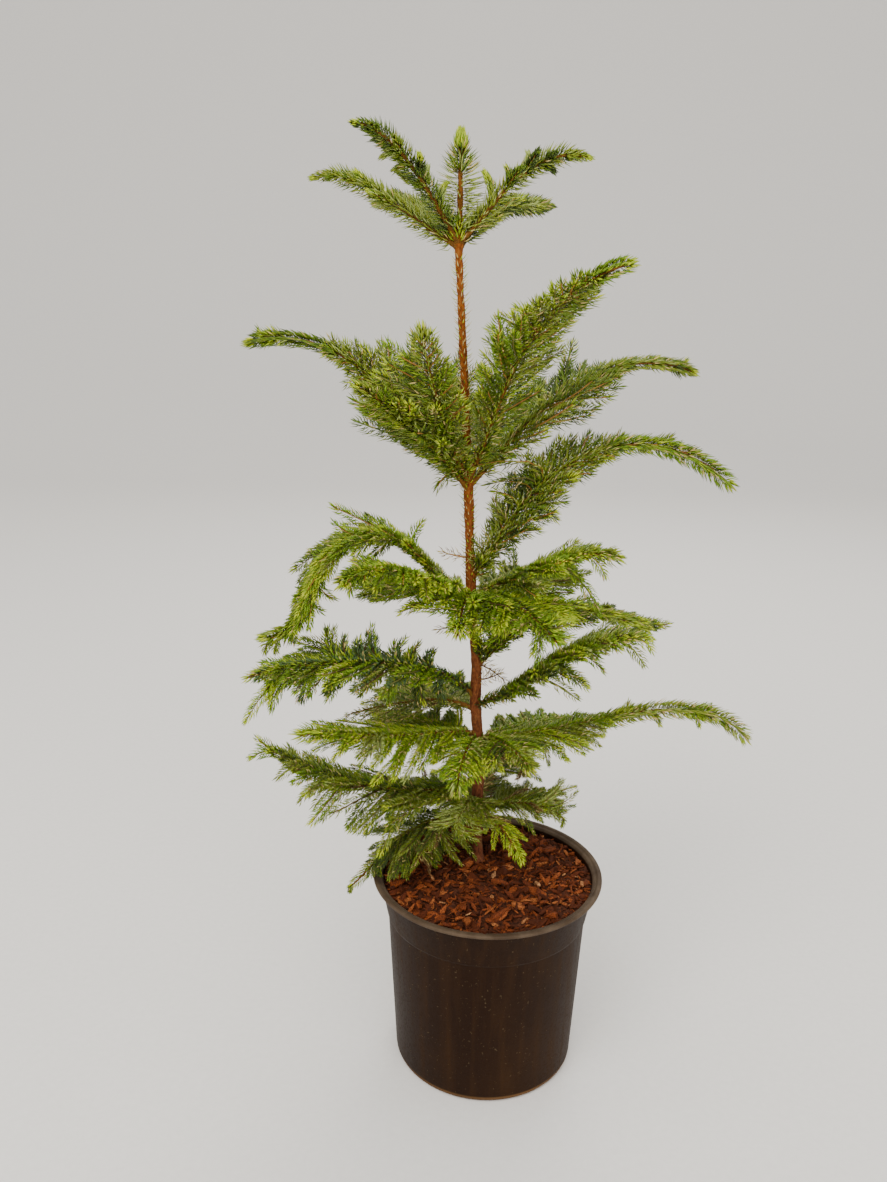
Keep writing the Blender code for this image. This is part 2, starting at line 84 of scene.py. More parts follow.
# Boughs, as in the CAD. height: where it leaves the trunk. azimuth: the way it points. length: along its
# curve. rise: its angle above the level at the trunk, at one third, at two thirds and at the tip. left and
# right: how far the side shoots reach. bare: the stretch with no side shoots. crest: where they reach
# furthest, and tail: where they end, as parts of the length. droop: how far they sag, as a part of their
# reach. roll: how far the fan is turned. mood: which greens it has.
COLUMNS = "name height azimuth length rise left right bare crest tail droop roll mood"
Bough = namedtuple("Bough", COLUMNS)
BOUGH_ROWS = (
    ("top_left", 0.694, 168, 0.135, (33, 32, 24, -28), 0.018, 0.02, 0.02, 0.5, 0.85, 0, 0, "crown"),
    ("top_front_left", 0.697, -137, 0.132, (49, 46, 32, -10), 0.02, 0.018, 0.02, 0.5, 0.85, 0, 0, "crown"),
    ("top_right", 0.698, -22, 0.125, (37, 46, 22, -27), 0.02, 0.02, 0.02, 0.5, 0.85, 0, 0, "crown"),
    ("top_back_right", 0.693, 42, 0.12, (50, 28, 5, 10), 0.018, 0.018, 0.02, 0.5, 0.85, 0, 0, "crown"),
    ("top_back_left", 0.693, 122, 0.152, (36, 25, 6, 6), 0.018, 0.018, 0.02, 0.5, 0.85, 0, 0, "crown"),
    ("second_left", 0.516, 173, 0.226, (29, 50, 24, -20), 0.052, 0.020, 0.026, 0.30, 0.68, 0, 58, "olive"),
    ("second_front_left", 0.508, -136, 0.152, (45, 42, 32, 27), 0.034, 0.056, 0.026, 0.55, 0.9, 0, 0, "olive"),
    ("second_front", 0.514, -111, 0.165, (39, 46, 53, 68), 0.018, 0.048, 0.026, 0.6, 0.95, 0, 0, "olive"),
    ("second_front_right", 0.515, -50, 0.242, (59, 61, 38, 7), 0.034, 0.028, 0.026, 0.5, 0.88, 0, 0, "olive"),
    ("second_right", 0.511, 20, 0.243, (43, 40, 13, -22), 0.038, 0.040, 0.026, 0.45, 0.7, 0, 10, "shade"),
    ("second_back", 0.505, 98, 0.15, (42, 38, 30, 20), 0.045, 0.045, 0.022, 0.5, 0.88, 0, 0, "shade"),
    ("third_right", 0.433, 5, 0.279, (55, 46, -1, -42), 0.032, 0.030, 0.026, 0.30, 0.62, 0.1, 25, "shade"),
    ("third_left", 0.424, -165, 0.236, (-2, 29, -62, 26), 0.036, 0.034, 0.03, 0.55, 0.93, 0.3, 0, "fresh"),
    ("third_front_left", 0.423, -132, 0.158, (2, 27, 12, -20), 0.04, 0.046, 0.022, 0.5, 0.85, 0.3, 0, "vivid"),
    ("third_front", 0.416, -98, 0.1, (30, 10, -15, -35), 0.05, 0.05, 0.022, 0.55, 0.92, 0.2, 0, "vivid"),
    ("third_low_right", 0.417, -60, 0.128, (19, 7, -12, -19), 0.046, 0.046, 0.022, 0.55, 0.92, 0.2, 0, "vivid"),
    ("third_front_right", 0.42, -25, 0.139, (24, 30, 20, -24), 0.044, 0.052, 0.024, 0.55, 0.92, 0.2, 0, "fresh"),
    # The third whorl's back boughs take the darker deep greens, partly painted shade behind the front fans
    ("third_back_right", 0.419, 50, 0.16, (4, 0, -5, -8), 0.045, 0.045, 0.022, 0.5, 0.9, 0.1, 0, "deep"),
    ("third_back_left", 0.418, 130, 0.16, (0, -6, -10, -14), 0.045, 0.045, 0.022, 0.5, 0.9, 0.1, 0, "deep"),
    ("fourth_right", 0.357, 20, 0.208, (42, 18, -17, 6), 0.03, 0.034, 0.03, 0.6, 0.92, 0.2, 0, "dusk"),
    ("fifth_right", 0.323, -24, 0.174, (17, 42, 27, 2), 0.04, 0.044, 0.016, 0.55, 0.92, 0.2, 0, "dusk"),
    ("fifth_left", 0.328, -158, 0.213, (56, 15, 4, -18), 0.05, 0.05, 0.028, 0.6, 0.95, 0.2, 0, "blue"),
    ("fifth_back_left", 0.317, 168, 0.12, (31, -7, -16, -23), 0.036, 0.036, 0.022, 0.55, 0.92, 0.2, 0, "deep"),
    ("fifth_back", 0.317, 118, 0.165, (-5, -10, -10, -12), 0.05, 0.05, 0.022, 0.55, 0.92, 0.1, 0, "deep"),
    ("sixth_left", 0.296, -148, 0.175, (17, 9, 15, 3), 0.046, 0.048, 0.022, 0.55, 0.9, 0.4, 0, "bright"),
    ("sixth_front_left", 0.288, -105, 0.091, (33, 7, -25, -68), 0.03, 0.03, 0.022, 0.5, 0.9, 0.4, 0, "bright"),
    ("sixth_right", 0.29, 5, 0.255, (5, 11, 1, -62), 0.028, 0.030, 0.022, 0.27, 0.48, 0.3, 0, "fresh"),
    ("sixth_front_right", 0.289, -60, 0.087, (35, 11, -6, -35), 0.034, 0.034, 0.022, 0.5, 0.9, 0.3, 0, "deep"),
    ("sixth_back_right", 0.289, 48, 0.16, (0, -8, -12, -15), 0.04, 0.04, 0.022, 0.55, 0.92, 0.2, 0, "fresh"),
    ("sixth_back_left", 0.288, 128, 0.165, (0, -8, -12, -14), 0.042, 0.042, 0.022, 0.55, 0.92, 0.2, 0, "fresh"),
    ("seventh_left", 0.256, -165, 0.213, (-30, 11, 26, 50), 0.05, 0.05, 0.024, 0.5, 0.9, 0.3, 0, "deep"),
    ("seventh_right", 0.26, 25, 0.071, (49, 12, -34, -55), 0.022, 0.024, 0.022, 0.5, 0.85, 0.4, 0, "dead"),
    ("seventh_back", 0.253, 82, 0.14, (-10, -14, -14, -14), 0.042, 0.042, 0.022, 0.55, 0.92, 0.2, 0, "deep"),
    ("eighth_left", 0.219, -160, 0.137, (2, -12, -42, -30), 0.04, 0.04, 0.022, 0.5, 0.82, 0.2, 0, "moss"),
    ("eighth_front_left", 0.231, -112, 0.060, (42, 8, -16, -34), 0.026, 0.026, 0.015, 0.5, 0.88, 0.2, 0, "disc"),
    ("eighth_front_right", 0.225, -62, 0.086, (25, -5, -20, -61), 0.015, 0.015, 0.02, 0.5, 0.85, 0.3, 0, "lime"),
    ("eighth_right", 0.222, -18, 0.087, (29, 16, -5, -48), 0.03, 0.026, 0.02, 0.55, 0.9, 0.3, 0, "disc"),
    ("eighth_back_right", 0.225, 28, 0.112, (5, -5, -1, -1), 0.03, 0.03, 0.02, 0.45, 0.8, 0.1, 0, "disc"),
    ("eighth_back", 0.222, 82, 0.115, (-5, -6, -10, -12), 0.04, 0.04, 0.022, 0.55, 0.9, 0.2, 0, "disc"),
    ("eighth_back_left", 0.222, 140, 0.115, (5, 0, -8, -15), 0.04, 0.04, 0.022, 0.55, 0.9, 0.2, 0, "disc"),
)
BOUGHS = [Bough(*row) for row in BOUGH_ROWS]
CURVE_STEPS = 60

# Greens of the needles and the browns of dry ones: the linear base colour, and the lighter and the darker
# shade that some needles of such a spray take
SHADES = {
    "bud": ((0.50, 0.56, 0.030), "bud", "lime"),
    "lime": ((0.30, 0.40, 0.012), "bud", "vivid"),
    # Pale: partly the needles' own pale green, partly painted highlight where it is olive's lighter shade
    "pale": ((0.33, 0.40, 0.095), "pale", "olive"),
    "vivid": ((0.150, 0.260, 0.004), "lime", "green"),
    "olive": ((0.195, 0.240, 0.014), "pale", "green"),
    "green": ((0.100, 0.165, 0.006), "olive", "dark"),
    "blue": ((0.070, 0.125, 0.038), "olive", "dark"),
    "dark": ((0.048, 0.078, 0.008), "green", "dark"),
    "straw": ((0.55, 0.42, 0.15), "pale", "brown"),
    "brown": ((0.18, 0.095, 0.03), "straw", "brown"),
}
SHADE_NAMES = list(SHADES)

# Each mood: how often a side shoot takes each shade near the trunk, and at the far end of the bough, and
# what part of the side shoots end in fresh growth
MOODS = {
    "crown": ({"pale": 5, "olive": 5}, {"green": 5, "dark": 4, "olive": 3}, 0.3),
    "shade": ({"green": 5, "olive": 5, "dark": 2}, {"olive": 6, "green": 4, "vivid": 1}, 0.3),
    "olive": ({"olive": 7, "green": 4}, {"olive": 6, "vivid": 3, "lime": 1}, 0.35),
    "fresh": ({"green": 3, "olive": 4, "vivid": 4}, {"vivid": 5, "lime": 3, "olive": 3}, 0.45),
    "vivid": ({"vivid": 6, "green": 3, "lime": 1}, {"vivid": 7, "lime": 3}, 0.5),
    "deep": ({"green": 3, "dark": 2, "olive": 7}, {"vivid": 3, "olive": 7, "green": 1}, 0.35),
    "blue": ({"blue": 8, "dark": 2, "green": 2}, {"vivid": 6, "olive": 3, "lime": 4}, 0.25),
    # Bright: lively greens made lighter still for boughs that the whorls above shade, partly painted light
    "bright": ({"vivid": 7, "olive": 2, "lime": 3}, {"vivid": 6, "lime": 5, "pale": 1}, 0.5),
    "dusk": ({"dark": 4, "green": 2, "olive": 4, "brown": 1}, {"vivid": 5, "olive": 5, "lime": 2}, 0.35),
    "moss": ({"dark": 4, "green": 2, "olive": 4, "brown": 1}, {"green": 2, "dark": 3, "olive": 6}, 0.02),
    # Disc: olive greens made paler for low boughs that the whorls above shade, partly painted light
    "disc": ({"olive": 7, "pale": 2, "brown": 1, "green": 2}, {"olive": 8, "pale": 3, "green": 2}, 0.03),
    "lime": ({"lime": 5, "vivid": 3, "pale": 2}, {"lime": 6, "bud": 2}, 0.8),
    "dead": ({"brown": 6, "dark": 4}, {"olive": 5, "green": 3, "brown": 2}, 0.2),
}

# Needles of a shoot: length, width, how far they stand out from it at their foot and at their point in
# degrees, how many there are for each metre of shoot, what part of them is dry, and the turn in degrees
# from one needle to the next. 144 makes five straight rows.
Needles = namedtuple("Needles", "length width foot_angle point_angle per_metre dry turn")
COVERS = {
    "open": Needles(0.0120, 0.00118, 66, 46, 5400, 0.03, 137.5),
    "closed": Needles(0.0077, 0.00128, 48, 18, 5200, 0.01, 137.5),
    "comb": Needles(0.0110, 0.00120, 62, 36, 2300, 0.05, 144),
    "plume": Needles(0.0112, 0.00130, 54, 18, 7000, 0.06, 144),
    "rope": Needles(0.0132, 0.00130, 64, 32, 4800, 0.10, 144),
    "full": Needles(0.0090, 0.00120, 58, 30, 2500, 0.05, 144),
    "soft": Needles(0.0070, 0.00110, 60, 32, 3100, 0.06, 144),
    "short": Needles(0.0064, 0.00105, 60, 32, 3100, 0.06, 144),
    "fine": Needles(0.0053, 0.00088, 60, 32, 3000, 0.03, 144),
    "airy": Needles(0.0060, 0.00095, 60, 34, 1500, 0.15, 144),
    "whisker": Needles(0.0090, 0.00090, 64, 48, 1500, 0.6, 137.5),
    "leader_low": Needles(0.0215, 0.00120, 88, 80, 5200, 0.03, 137.5),
    "leader_middle": Needles(0.0155, 0.00120, 72, 54, 8200, 0.15, 137.5),
    "leader_top": Needles(0.0092, 0.00150, 48, 18, 11000, 0.0, 137.5),
}

# Each whorl: the cover of its boughs, of their ends and of their side shoots, the gap between side shoots
# on one side, their angle in degrees, and where they start as a part of the bare stretch. A bough of its
# own kind has its own row.
Whorl = namedtuple("Whorl", "bough end side gap angle start")
WHORLS = {
    "top": Whorl("open", "closed", "closed", 0.0170, 50, 2.3),
    "top_back": Whorl("open", "closed", "comb", 0.0080, 46, 0.8),
    "second": Whorl("comb", "plume", "comb", 0.0070, 54, 0.5),
    "third": Whorl("full", "rope", "full", 0.0062, 54, 0.5),
    "fourth": Whorl("full", "full", "full", 0.0068, 54, 1.0),
    "fifth": Whorl("soft", "soft", "soft", 0.0058, 58, 0.6),
    "sixth": Whorl("soft", "rope", "soft", 0.0058, 54, 0.5),
    "seventh": Whorl("short", "short", "short", 0.0058, 54, 0.8),
    "eighth": Whorl("fine", "fine", "fine", 0.0036, 58, 0.4),
    "eighth_front_right": Whorl("full", "full", "fine", 0.0110, 44, 1.2),
    "third_right": Whorl("comb", "rope", "comb", 0.0060, 52, 0.15),
    "fourth_right": Whorl("full", "full", "full", 0.0068, 54, 0.5),
    "fifth_left": Whorl("full", "full", "full", 0.0066, 58, 0.3),
    "seventh_left": Whorl("full", "full", "full", 0.0070, 52, 0.6),
    "eighth_left": Whorl("fine", "full", "fine", 0.0038, 58, 0.4),
    "fifth_right": Whorl("comb", "full", "full", 0.0054, 56, 0.1),
    "fifth_back_left": Whorl("airy", "airy", "airy", 0.0090, 58, 0.6),
}

# How many times each stand-out side shoot of a bough is grown, and the scatter of its copies, as a part of
# its reach
REPEATS = {
    "second_back": 2, "third_low_right": 2, "third_front": 2, "fourth_right": 2,
    "fifth_left": 3, "eighth_left": 3, "eighth_front_left": 3, "eighth_right": 2,
}
REPEAT_SCATTER = 0.17

# Short shoots that thicken the boughs' ends: how many for each metre, their length and their angle
END_SHOOTS = {"rope": (230, 0.021, 25), "plume": (170, 0.016, 24)}
# They leave from this far before the fan's tail to this part of the length, and are counted over a little
# more. Then the scatter of their length
END_SHOOTS_BEFORE = 0.06
END_SHOOTS_LAST = 0.90
END_SHOOTS_COUNTED = 0.92
END_SHOOTS_SCATTER = (0.75, 1.15)

# Side shoots that stand out of the fans: where each leaves its bough, in percent of the length, and the way
# from there to its tip in millimetres
SPRAYS = {
    "top_front_left": ((62, -18, -3, -4), (62, -16, 6, 5), (52, -17, -4, -3), (37, 0, 4, 20),
        (22, 4, 3, 24)),
    "top_left": ((53, -11, -6, 0), (46, -1, 3, 10)),
    "top_right": ((28, -6, 0, 29), (43, -2, -4, 18), (55, 4, 4, 19), (63, 18, -4, -5)),
    "second_left": ((30, 6, -6, 54), (36, 4, -8, 46), (42, 3, -6, 38), (48, 2, -6, 29), (54, 0, -4, 20),
        (60, -2, -4, 13), (57, -16, -8, 2), (48, -27, -10, -1), (36, -31, -12, 2), (30, -24, -14, 6),
        (5, -20, -6, -14)),
    "second_front": ((32, 3, 0, 32), (40, 4, 0, 35), (48, 5, 0, 34), (56, 7, 0, 30), (64, 10, 0, 25),
        (72, 13, 0, 18)),
    "second_front_right": ((10, 31, -10, 3), (22, -9, 4, 32), (28, -13, 4, 34), (34, -17, 2, 34),
        (40, -21, 0, 31), (46, -25, 2, 27), (52, -23, 0, 24), (58, -19, 2, 20)),
    "second_back": ((35, 12, -4, 26), (45, -12, -4, 26), (52, 20, -2, 28), (60, 10, 0, 32),
        (68, -8, 0, 32), (75, 24, 2, 26), (82, 4, 0, 34), (66, -20, 0, 24)),
    "third_left": ((27, 9, 10, 27), (47, -26, 8, 10), (59, -20, -4, 1), (72, -13, -4, -3),
        (74, -14, -8, -5), (89, -27, 0, -9), (95, -8, -6, -14), (92, -7, 8, -22), (68, 18, -6, -22),
        (75, 14, -4, -17)),
    "third_front_left": ((88, -4, -8, -16), (64, -15, -6, -20), (42, -23, -6, -15), (18, -17, 12, 17)),
    "third_front": ((87, -8, -10, 3), (58, -47, 4, -1), (81, 7, -14, 3)),
    "third_right": ((36, -74, -16, 14), (33, -46, -14, 6), (31, -27, -6, 14), (25, -23, -6, 20),
        (19, -16, -6, 22), (29, 24, -4, -4), (25, 36, -6, -6), (14, 20, -8, 1), (6, 19, -8, 0),
        (3, -5, -10, 22), (6, -7, -8, 26), (2, 6, -12, 18), (5, 12, -8, 14), (10, 12, -8, 12)),
    "third_front_right": ((46, 5, 4, 11), (61, 7, 2, 12), (77, 19, -8, -20), (55, 44, -14, -42)),
    "third_low_right": ((80, 28, -8, 6), (75, 21, -10, -16), (89, 21, -2, -1), (74, -1, 4, -33),
        (50, -22, -8, -35), (20, 4, -12, -24), (32, 10, -12, -28), (42, 14, -10, -24)),
    "fourth_right": ((61, 12, -4, 5), (2, -5, -12, 28), (5, -8, -12, 24), (8, -2, -10, 30),
        (12, 2, -10, 26), (16, 2, -8, 24), (20, 6, -8, 18), (10, -8, -14, 14), (26, 8, -8, 14)),
    "fifth_right": ((92, 15, -4, -12), (82, 26, -6, -23), (58, 32, -6, -15), (43, 40, -6, -13),
        (32, 48, -4, -18)),
    "fifth_left": ((61, -16, 6, 31), (57, -8, 6, 25), (52, -7, 6, 24), (45, -7, 6, 25), (38, -6, 4, 24),
        (32, -1, 0, 20), (24, 1, 0, 21), (11, 1, 0, 10), (84, -15, -8, -20), (78, -24, -10, -38),
        (68, -24, -8, -32), (57, -22, -8, -24), (46, -14, -10, -20), (36, -12, -12, -27),
        (26, -10, -12, -26), (17, -8, -10, -22)),
    "fifth_back_left": ((97, -9, -4, -8), (97, -6, 6, -4)),
    "sixth_left": ((86, -22, 4, -2), (66, -26, -8, -22), (51, -27, -10, -27), (34, -27, -14, -43),
        (27, -10, -14, -14)),
    "sixth_front_left": ((92, -1, -10, -3), (66, -28, -8, -7)),
    "sixth_right": ((23, 20, -8, -25), (17, 22, -10, -29), (11, 23, -12, -31), (32, 16, -8, -16),
        (40, 13, -4, -16), (59, 15, -4, -15), (74, 11, -4, -18)),
    "seventh_left": ((88, -26, -4, -4), (76, -25, -6, -11), (62, -33, -8, -22), (56, -33, -6, -24),
        (50, -38, -8, -33), (33, -35, -10, -41), (30, -22, -6, -27), (22, -16, -4, -30)),
    "seventh_right": ((74, -8, -4, -25),),
    "eighth_left": ((95, -4, -8, -5), (70, 1, -10, -20), (48, 3, -10, -36), (14, -20, -10, -44),
        (10, 6, -14, -32), (20, -6, -16, -38), (30, 6, -18, -34), (40, 10, -16, -34), (55, 12, -14, -30),
        (22, 14, -8, -34), (34, -14, -6, -38)),
    "eighth_front_left": ((25, 26, -4, 2), (45, 36, -4, -4), (65, 38, -5, -7), (85, 28, -8, -6),
        (30, -24, -2, 2), (50, -32, -4, -3), (70, -30, -6, -6), (90, 4, -14, -6)),
    "eighth_right": ((73, 33, 2, 17), (63, 29, 4, 26), (93, 0, -4, -10)),
}

# Shoots up the trunk: their cover and shade, the heights they run between, and the radius of their stem
TRUNK_SHOOTS = (
    ("whisker", "lime", 0.432, 0.690),
    ("open", "lime", 0.697, 0.712),
    ("leader_low", "pale", 0.706, 0.750),
    ("leader_middle", "green", 0.746, 0.763),
    ("leader_top", "lime", 0.762, 0.7742),
)
TRUNK_SHOOT_RADIUS = 0.0021

# Dry twigs on the trunk: height, azimuth, length, and angle above the level
DRY_TWIGS = (
    (0.452, -170, 0.030, 14),
    (0.395, -172, 0.036, -8),
    (0.388, -30, 0.026, 30),
    (0.360, -8, 0.034, -30),
    (0.345, -20, 0.030, 24),
    (0.292, -25, 0.060, -14),
    (0.272, -12, 0.046, 22),
    (0.268, -150, 0.040, -12),
    (0.240, 60, 0.034, 10),
)
DRY_TWIG_RADIUS = 0.0009

# A shoot: a curve of SAMPLES points, its stem's radius at its foot, its cover and its shade, the part from
# the foot that carries few needles, and whether its end is fresh
Shoot = namedtuple("Shoot", "curve radius cover shade sparse fresh")
SEED = 41
SAMPLES = 25
GOLDEN_ANGLE = math.radians(137.508)

# Side shoots: how far they bend forward in degrees, the least length, where the search for the length that
# reaches the fan's outline starts and its rounds, how blunt that outline is, and what it is widened by
SIDE_CURL = 16
SHORTEST_SHOOT = 0.010
FIRST_LENGTH = 0.0068
LENGTH_ROUNDS = 4
FAN_FULLNESS = 0.75
FAN_MARGIN = 0.002
# Their scatter: in length as a part of it, in angle in degrees, and out of the fan, 3.5 mm on 30 mm
LENGTH_SCATTER = 0.10
ANGLE_SCATTER = 6
END_SCATTER = 0.0035 / 0.030
# Where the fan ends, as a part of its stretch, the length that counts as long, and how far out the bough's
# own shoot and its end count when their shade is drawn
FAN_END = 0.97
LONG_SHOOT = 0.045
INNER = 0.3
OUTER = 0.8
# For a side shoot's shade: how much its place along the bough counts, and the rest is its length
PLACE_WEIGHT = 0.65
# Stand-out shoots: how far off their corner is, as a part of their reach, how much it leans out from the
# bough's heading, and the least part of the reach that is kept
CORNER_PART = 0.38
CORNER_LEAN = 0.6
LEAST_REACH = 0.6

# Stems under the needles: where the bough's own shoot starts, how far before the fan's tail its end does,
# the radius of each, a side shoot's as a part of its needles' length, the radius below which a stem is a
# twig, and what is left of one at its tip
BODY_START = 0.03
END_BEFORE_TAIL = 0.04
BODY_RADIUS = 0.0017
END_RADIUS = 0.0011
STEM_SHARE = 0.075
TWIG_LIMIT = 0.00105
TWIG_TAPER = 0.45
# Twigs are amber above this height
AMBER_HEIGHT = 0.43

# Needles: the scatter of their rows in radians and of their angles in degrees, the fewest on a shoot, the
# share that a sparse stretch keeps, the share that an under side loses, the stretch over which they close up
# at a tip, how deep they stand in the stem, where they are widest, and how far they reach past a shoot
ROW_SCATTER = 0.13
NEEDLE_ANGLE_SCATTER = 5
FEWEST_NEEDLES = 6
SPARSE_SHARE = 0.30
UNDERSIDE_LOSS = 0.35
CLOSING_LENGTH = 0.010
FOOT_DEPTH = 0.7
WIDEST_PART = 0.48
NEEDLES_PAST_END = 0.006
# How much less they lean out and how much shorter they are at a tip, the scatter of their length and of
# their width, and how thick they are for their width
TIP_CLOSING = 0.55
TIP_SHORTENING = 0.25
NEEDLE_LENGTHS = (0.80, 1.12)
NEEDLE_WIDTHS = (0.85, 1.15)
KEEL_DEPTH = 0.35
# A needle's faces: 0 is its foot, 1 to 3 stand round its widest place, and 4 is its point
SPINDLE_FACES = ((2, 1, 0), (3, 2, 0), (1, 3, 0), (1, 2, 4), (2, 3, 4), (3, 1, 4))
# Shares of lighter and of darker needles. Fresh growth: how far it reaches from a tip, in metres and as a
# part of the shoot, and the shares of it that are fresh and that are bud green
LIGHTER_SHARE = 0.16
DARKER_SHARE = 0.20
FRESH_END = 0.010
FRESH_PART = 0.35
FRESH_SHARE = 0.85
BUD_SHARE = 0.35
MOST_PIECE_TRIANGLES = 195000

# A heading counts as steep when its upward part is over this
STEEP = 0.93

# Bark: scales round the stem and their pitch up it, their relief on the trunk, how uneven and furrowed it
# is, the height from which and over which its scales grow to full relief, and where green stem starts, over
# what height it sets in, and how green it gets
SCALES_ROUND = 7
SCALE_PITCH = 0.0046
TRUNK_SCALE_DEPTH = 0.00060
TRUNK_UNEVENNESS = 0.00022
FURROW_DEPTH = 0.00018
FULL_SCALES = (0.25, 0.25)
GREEN_STEM_HEIGHT = 0.698
GREEN_STEM_BLEND = 0.012
GREEN_STEM_SHARE = 0.6

# Boughs' stems: where they start and end as parts of the length, their radius at the trunk and at the tip,
# the same of a short bough, the collar at the trunk, the relief as a part of the radius, and unevenness
LIMB_START = 0.002
LIMB_END = 0.97
LIMB_RADIUS = 0.0021
LIMB_TIP_RADIUS = 0.0005
SHORT_LIMB = 0.1
SHORT_LIMB_RADIUS = 0.0016
LIMB_COLLAR = 0.0011
LIMB_COLLAR_LENGTH = 0.004
LIMB_SCALE_DEPTH = 0.20
LIMB_UNEVENNESS = 0.00012

# Pot, as in the CAD, and its floor's drain holes
POT_LIP_RADIUS = 0.100
POT_LIP_WIDTH = 0.0047
POT_LIP_DEPTH = 0.0032
POT_HEIGHT = 0.176
POT_WALL = 0.0016
POT_FLOOR = 0.004
COLLAR_RADIUS = 0.0935
COLLAR_FOOT_RADIUS = 0.0876
COLLAR_FOOT = 0.140
WALL_TOP = 0.1385
WALL_TOP_RADIUS = 0.0866
WALL_FOOT_RADIUS = 0.079
FOOT_ROUND = 0.005
DRAIN_HOLES = 6
DRAIN_HOLE_RADIUS = 0.005
DRAIN_CIRCLE_RADIUS = 0.052
POT_SEGMENTS = 144
HOLE_SIDES = 24
# The section stops this short of the axis
POT_MIDDLE = 0.0004

# Mulch: the bed's height at the wall and at the mound, the mound's radius, how far the bed lies below the
# chips, and its base's height
MULCH_EDGE_HEIGHT = 0.170
MULCH_MOUND_HEIGHT = 0.172
MOUND_RADIUS = 0.075
BED_BELOW_CHIPS = 0.0016
BED_BASE_HEIGHT = 0.13

# Chips: half the usual length, its spread as the logarithm's deviation, its limits, and the share of pale
# ones
CHIP_COUNT = 3400
CHIP_CORNERS = 6
CHIP_USUAL = 0.0030
CHIP_SPREAD = 0.66
CHIP_SHORTEST = 0.0010
CHIP_LONGEST = 0.0110
PALE_CHIPS = 0.03
# Where they lie, above or below the bed's height, how far they tilt along and across in radians, and how far
# they bow down at the ends
CHIP_HEIGHTS = (-0.0028, 0.0018)
CHIP_PITCH = 0.36
CHIP_ROLL = 0.55
CHIP_BOW = 0.35

# Stage: the floor and its backdrop, the light all round, and the lamps, each with its place, size, power and
# colour, and the point they shine at
FLOOR_START = -6.0
FLOOR_HALF_WIDTH = 9.0
BACKDROP_START = 3.0
BACKDROP_BEND = 2.0
BACKDROP_HEIGHT = 6.0
WORLD_COLOUR = (1.0, 0.985, 0.955)
WORLD_STRENGTH = 1.15
LAMPS_AIM = (0.0, 0.0, 0.4)
LAMPS = (
    ("key", (-0.9, -1.5, 2.3), 1.6, 50, (1.0, 0.97, 0.92)),
    ("fill", (0.9, -1.9, 0.9), 1.8, 24, (1.0, 0.98, 0.95)),
    ("back", (0.5, 1.9, 2.2), 1.5, 30, (1.0, 0.98, 0.94)),
)


class Value:
    """A shader socket. Python arithmetic on it adds Math nodes to its finish."""

    def __init__(self, finish, socket):
        self.finish = finish
        self.socket = socket

    def math(self, operation, *values):
        return self.finish.node("ShaderNodeMath", {"operation": operation}, dict(enumerate(values)))

    def __add__(self, other):
        return self.math("ADD", self, other)

    def __sub__(self, other):
        return self.math("SUBTRACT", self, other)

    def __rsub__(self, other):
        return self.math("SUBTRACT", other, self)

    def __mul__(self, other):
        return self.math("MULTIPLY", self, other)

    def __truediv__(self, other):
        return self.math("DIVIDE", self, other)

    __radd__ = __add__
    __rmul__ = __mul__

    def clamped(self):
        return self.math("MINIMUM", self.math("MAXIMUM", self, 0.0), 1.0)


class Finish:
    """A material with one Principled shader, and the few calls that build its nodes."""

    def __init__(self, name, colour, roughness, **constants):
        self.material = bpy.data.materials.new(name)
        self.material.use_nodes = True
        self.tree = self.material.node_tree
        self.shader = self.tree.nodes["Principled BSDF"]
        self.material.diffuse_color = (*colour, 1.0)
        self.shader.inputs["Base Color"].default_value = (*colour, 1.0)
        self.shader.inputs["Roughness"].default_value = roughness
        for socket, value in constants.items():
            self.shader.inputs[socket.replace("_", " ")].default_value = value

    def join(self, value, socket):
        if isinstance(value, Value):
            self.tree.links.new(value.socket, socket)
        elif isinstance(value, tuple) and len(value) == 3 and socket.type == "RGBA":
            socket.default_value = (*value, 1.0)
        else:
            socket.default_value = value

    def node(self, kind, settings=None, sockets=None, output=0):
        """One node: its settings first, a ramp's stops among them, and then its sockets' values or links."""
        made = self.tree.nodes.new(kind)
        for key, value in (settings or {}).items():
            if key == "stops":
                for place, colour in value[2:]:
                    made.color_ramp.elements.new(place)
                for stop, (place, colour) in zip(made.color_ramp.elements, value):
                    stop.position = place
                    stop.color = (*colour, 1.0)
            else:
                setattr(made, key, value)
        for key, value in (sockets or {}).items():
            self.join(value, made.inputs[key])
        return Value(self, made.outputs[output])

    def place(self, scale=(1, 1, 1)):
        """The object's own coordinates, stretched by the scale."""
        raw = self.node("ShaderNodeTexCoord", output="Object")
        return self.node("ShaderNodeMapping", {}, {"Vector": raw, "Scale": scale})

    def noise(self, vector, scale, detail=3.0, roughness=0.55):
        sockets = {"Vector": vector, "Scale": scale, "Detail": detail, "Roughness": roughness}
        return self.node("ShaderNodeTexNoise", {}, sockets)

    def ramp(self, factor, stops):
        return self.node("ShaderNodeValToRGB", {"stops": stops}, {"Fac": factor})

    def between(self, value, low, high):
        """0 below low, 1 above high, and a straight rise between them."""
        return ((value - low) / (high - low)).clamped()

    def mix(self, factor, first, second):
        return self.node("ShaderNodeMix", {"data_type": "RGBA"}, {0: factor, 6: first, 7: second}, 2)

    def attribute(self, name):
        return self.node("ShaderNodeAttribute", {"attribute_name": name}, output="Fac")

    def paint(self, colour=None, roughness=None, height=None, bump=0.0):
        """Links what changes over the surface to the shader. bump is the relief's depth in metres."""
        if colour is not None:
            self.join(colour, self.shader.inputs["Base Color"])
        if roughness is not None:
            self.join(roughness, self.shader.inputs["Roughness"])
        if height is not None:
            relief = self.node("ShaderNodeBump", {}, {"Height": height, "Distance": bump, "Strength": 1.0})
            self.join(relief, self.shader.inputs["Normal"])
        return self.material


